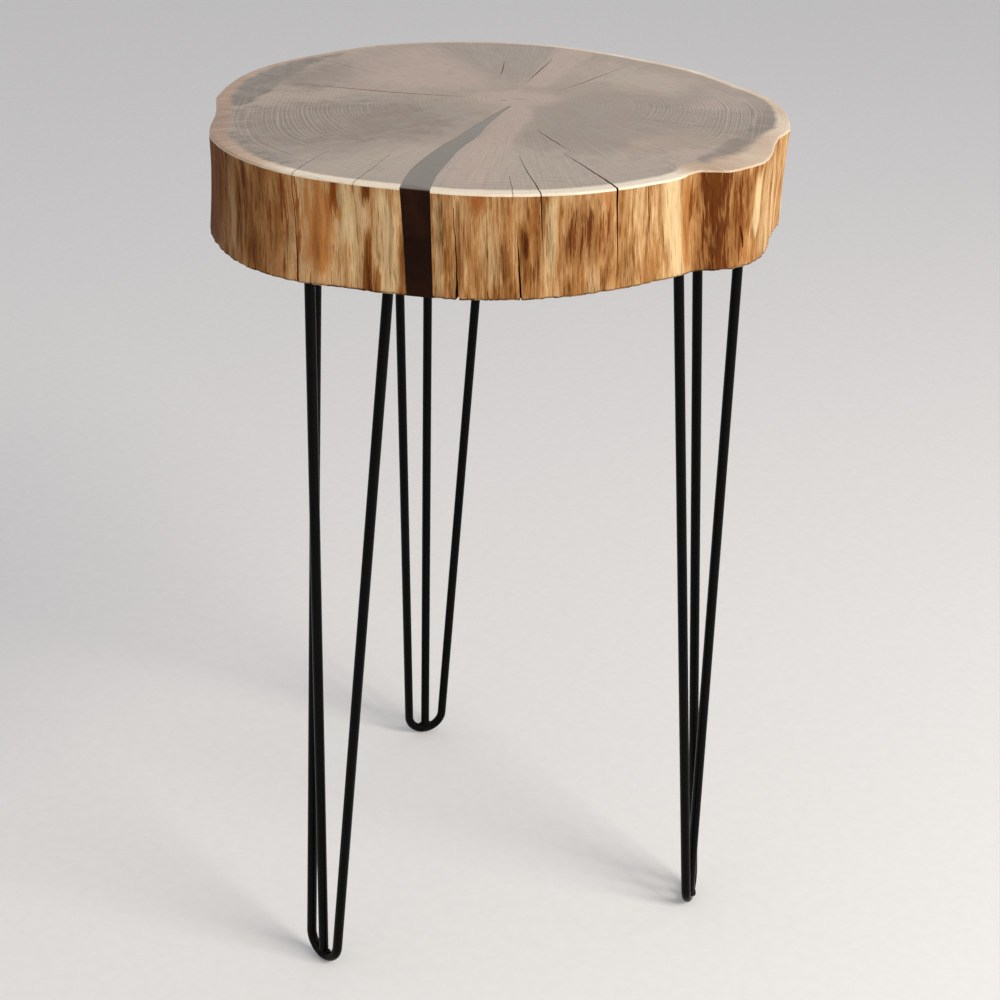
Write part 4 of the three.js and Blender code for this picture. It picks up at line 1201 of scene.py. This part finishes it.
blank = screw_mesh()
dress(blank, [zinc], 40)
for leg, bearing, facing, reach in legs:
    for number, (x, y) in enumerate(hole_places, 1):
        screw = bpy.data.objects.new(f"{leg}_pan_head_screw_{number}", blank.data)
        bpy.context.scene.collection.objects.link(screw)
        driven = Matrix.Rotation(math.radians(37 * number + facing), 4, "Z")
        hole = leg_frame(bearing, facing, reach) @ Matrix.Translation((x * MM, y * MM, rod_top))
        screw.matrix_world = hole @ driven
        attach(screw, "root")
        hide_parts(f"{leg}_screw_{number}")
bpy.data.objects.remove(blank)

# STUDIO
# A plain pale floor, 12 m from its middle to its rim, one large soft lamp from the right and a
# weaker one from the left, seen from the front and above.
lens, sensor = 72.27, 36.0
camera = bpy.data.objects.new("camera", bpy.data.cameras.new("camera"))
camera.data.lens, camera.data.sensor_width = lens, sensor
camera.location = (0.0080, -1.5111, 1.0877)
camera.rotation_mode = "QUATERNION"
looking = Euler((math.radians(64.07), 0, 0)).to_matrix() @ Matrix.Rotation(math.radians(1.371), 3, "Z")
camera.rotation_quaternion = looking.to_quaternion()
bpy.context.scene.collection.objects.link(camera)
bpy.context.scene.camera = camera
bpy.context.scene.view_settings.view_transform = "Standard"

floor_reach = 12.0
paper_lift = 0.12
floor_turns = np.linspace(0, 2 * math.pi, 64, endpoint=False)
floor_rings = [[(r * math.cos(a), r * math.sin(a), 0) for a in floor_turns] for r in (0.5, floor_reach)]
floor = mesh_object("studio_floor", np.concatenate(floor_rings), skin(floor_rings)[:-1])
outward_faces(floor)
paper = new_material("matt_studio_paper")
world = emptied(bpy.data.worlds.new("studio"))
bpy.context.scene.world = world
# The camera, mirrors and glass see a paler floor and backdrop than the ones that light the table.
seen = {}
for holder in (paper, world):
    seen[holder.name] = 0.0
    for kind in ("Is Camera Ray", "Is Glossy Ray", "Is Transmission Ray"):
        seen[holder.name] = add(holder, "Math", {"operation": "MAXIMUM"}, {
            0: add(holder, "LightPath", out=kind), 1: seen[holder.name]})
place = add(paper, "TexCoord", out="Object")
paper_grain = add(paper, "TexNoise", None, {"Vector": place, "Scale": 90.0, "Detail": 2.0})
paper_colour = add(paper, "ValToRGB", None, {"Fac": paper_grain}, [(0.3, "#e6e3df"), (0.7, "#e9e6e2")])
matt = add(paper, "BsdfPrincipled", None, {"Base Color": paper_colour, "Roughness": 0.95})
lift = add(paper, "Math", {"operation": "MULTIPLY"}, {0: seen[paper.name], 1: paper_lift})
paler = add(paper, "Emission", None, {"Color": "#ffffff", "Strength": lift})
lifted = add(paper, "AddShader", None, {0: matt, 1: paler})
add(paper, "OutputMaterial", None, {"Surface": lifted})
dress(floor, [paper])

lit = add(world, "Background", None, {"Color": "#f4f6ff", "Strength": 0.43})
backdrop = add(world, "Background", None, {"Color": "#fff8ee", "Strength": 1.0})
sky = add(world, "MixShader", None, {0: seen[world.name], 1: lit, 2: backdrop})
add(world, "OutputWorld", None, {"Surface": sky})

for name, energy, size, spot, aim, tint in (
    ("key_lamp", 80, 1.5, (2.1, -1.5, 2.0), (0, 0, 0.55), (1.0, 0.965, 0.91)),
    ("fill_lamp", 2.5, 1.8, (-1.8, -1.9, 1.4), (0, 0, 0.4), (1.0, 0.95, 0.86)),
):
    lamp = bpy.data.objects.new(name, bpy.data.lights.new(name, "AREA"))
    lamp.data.energy, lamp.data.size, lamp.data.color = energy, size, tint
    lamp.location = spot
    lamp.rotation_mode = "QUATERNION"
    lamp.rotation_quaternion = (Vector(aim) - Vector(spot)).to_track_quat("-Z", "Y")
    bpy.context.scene.collection.objects.link(lamp)
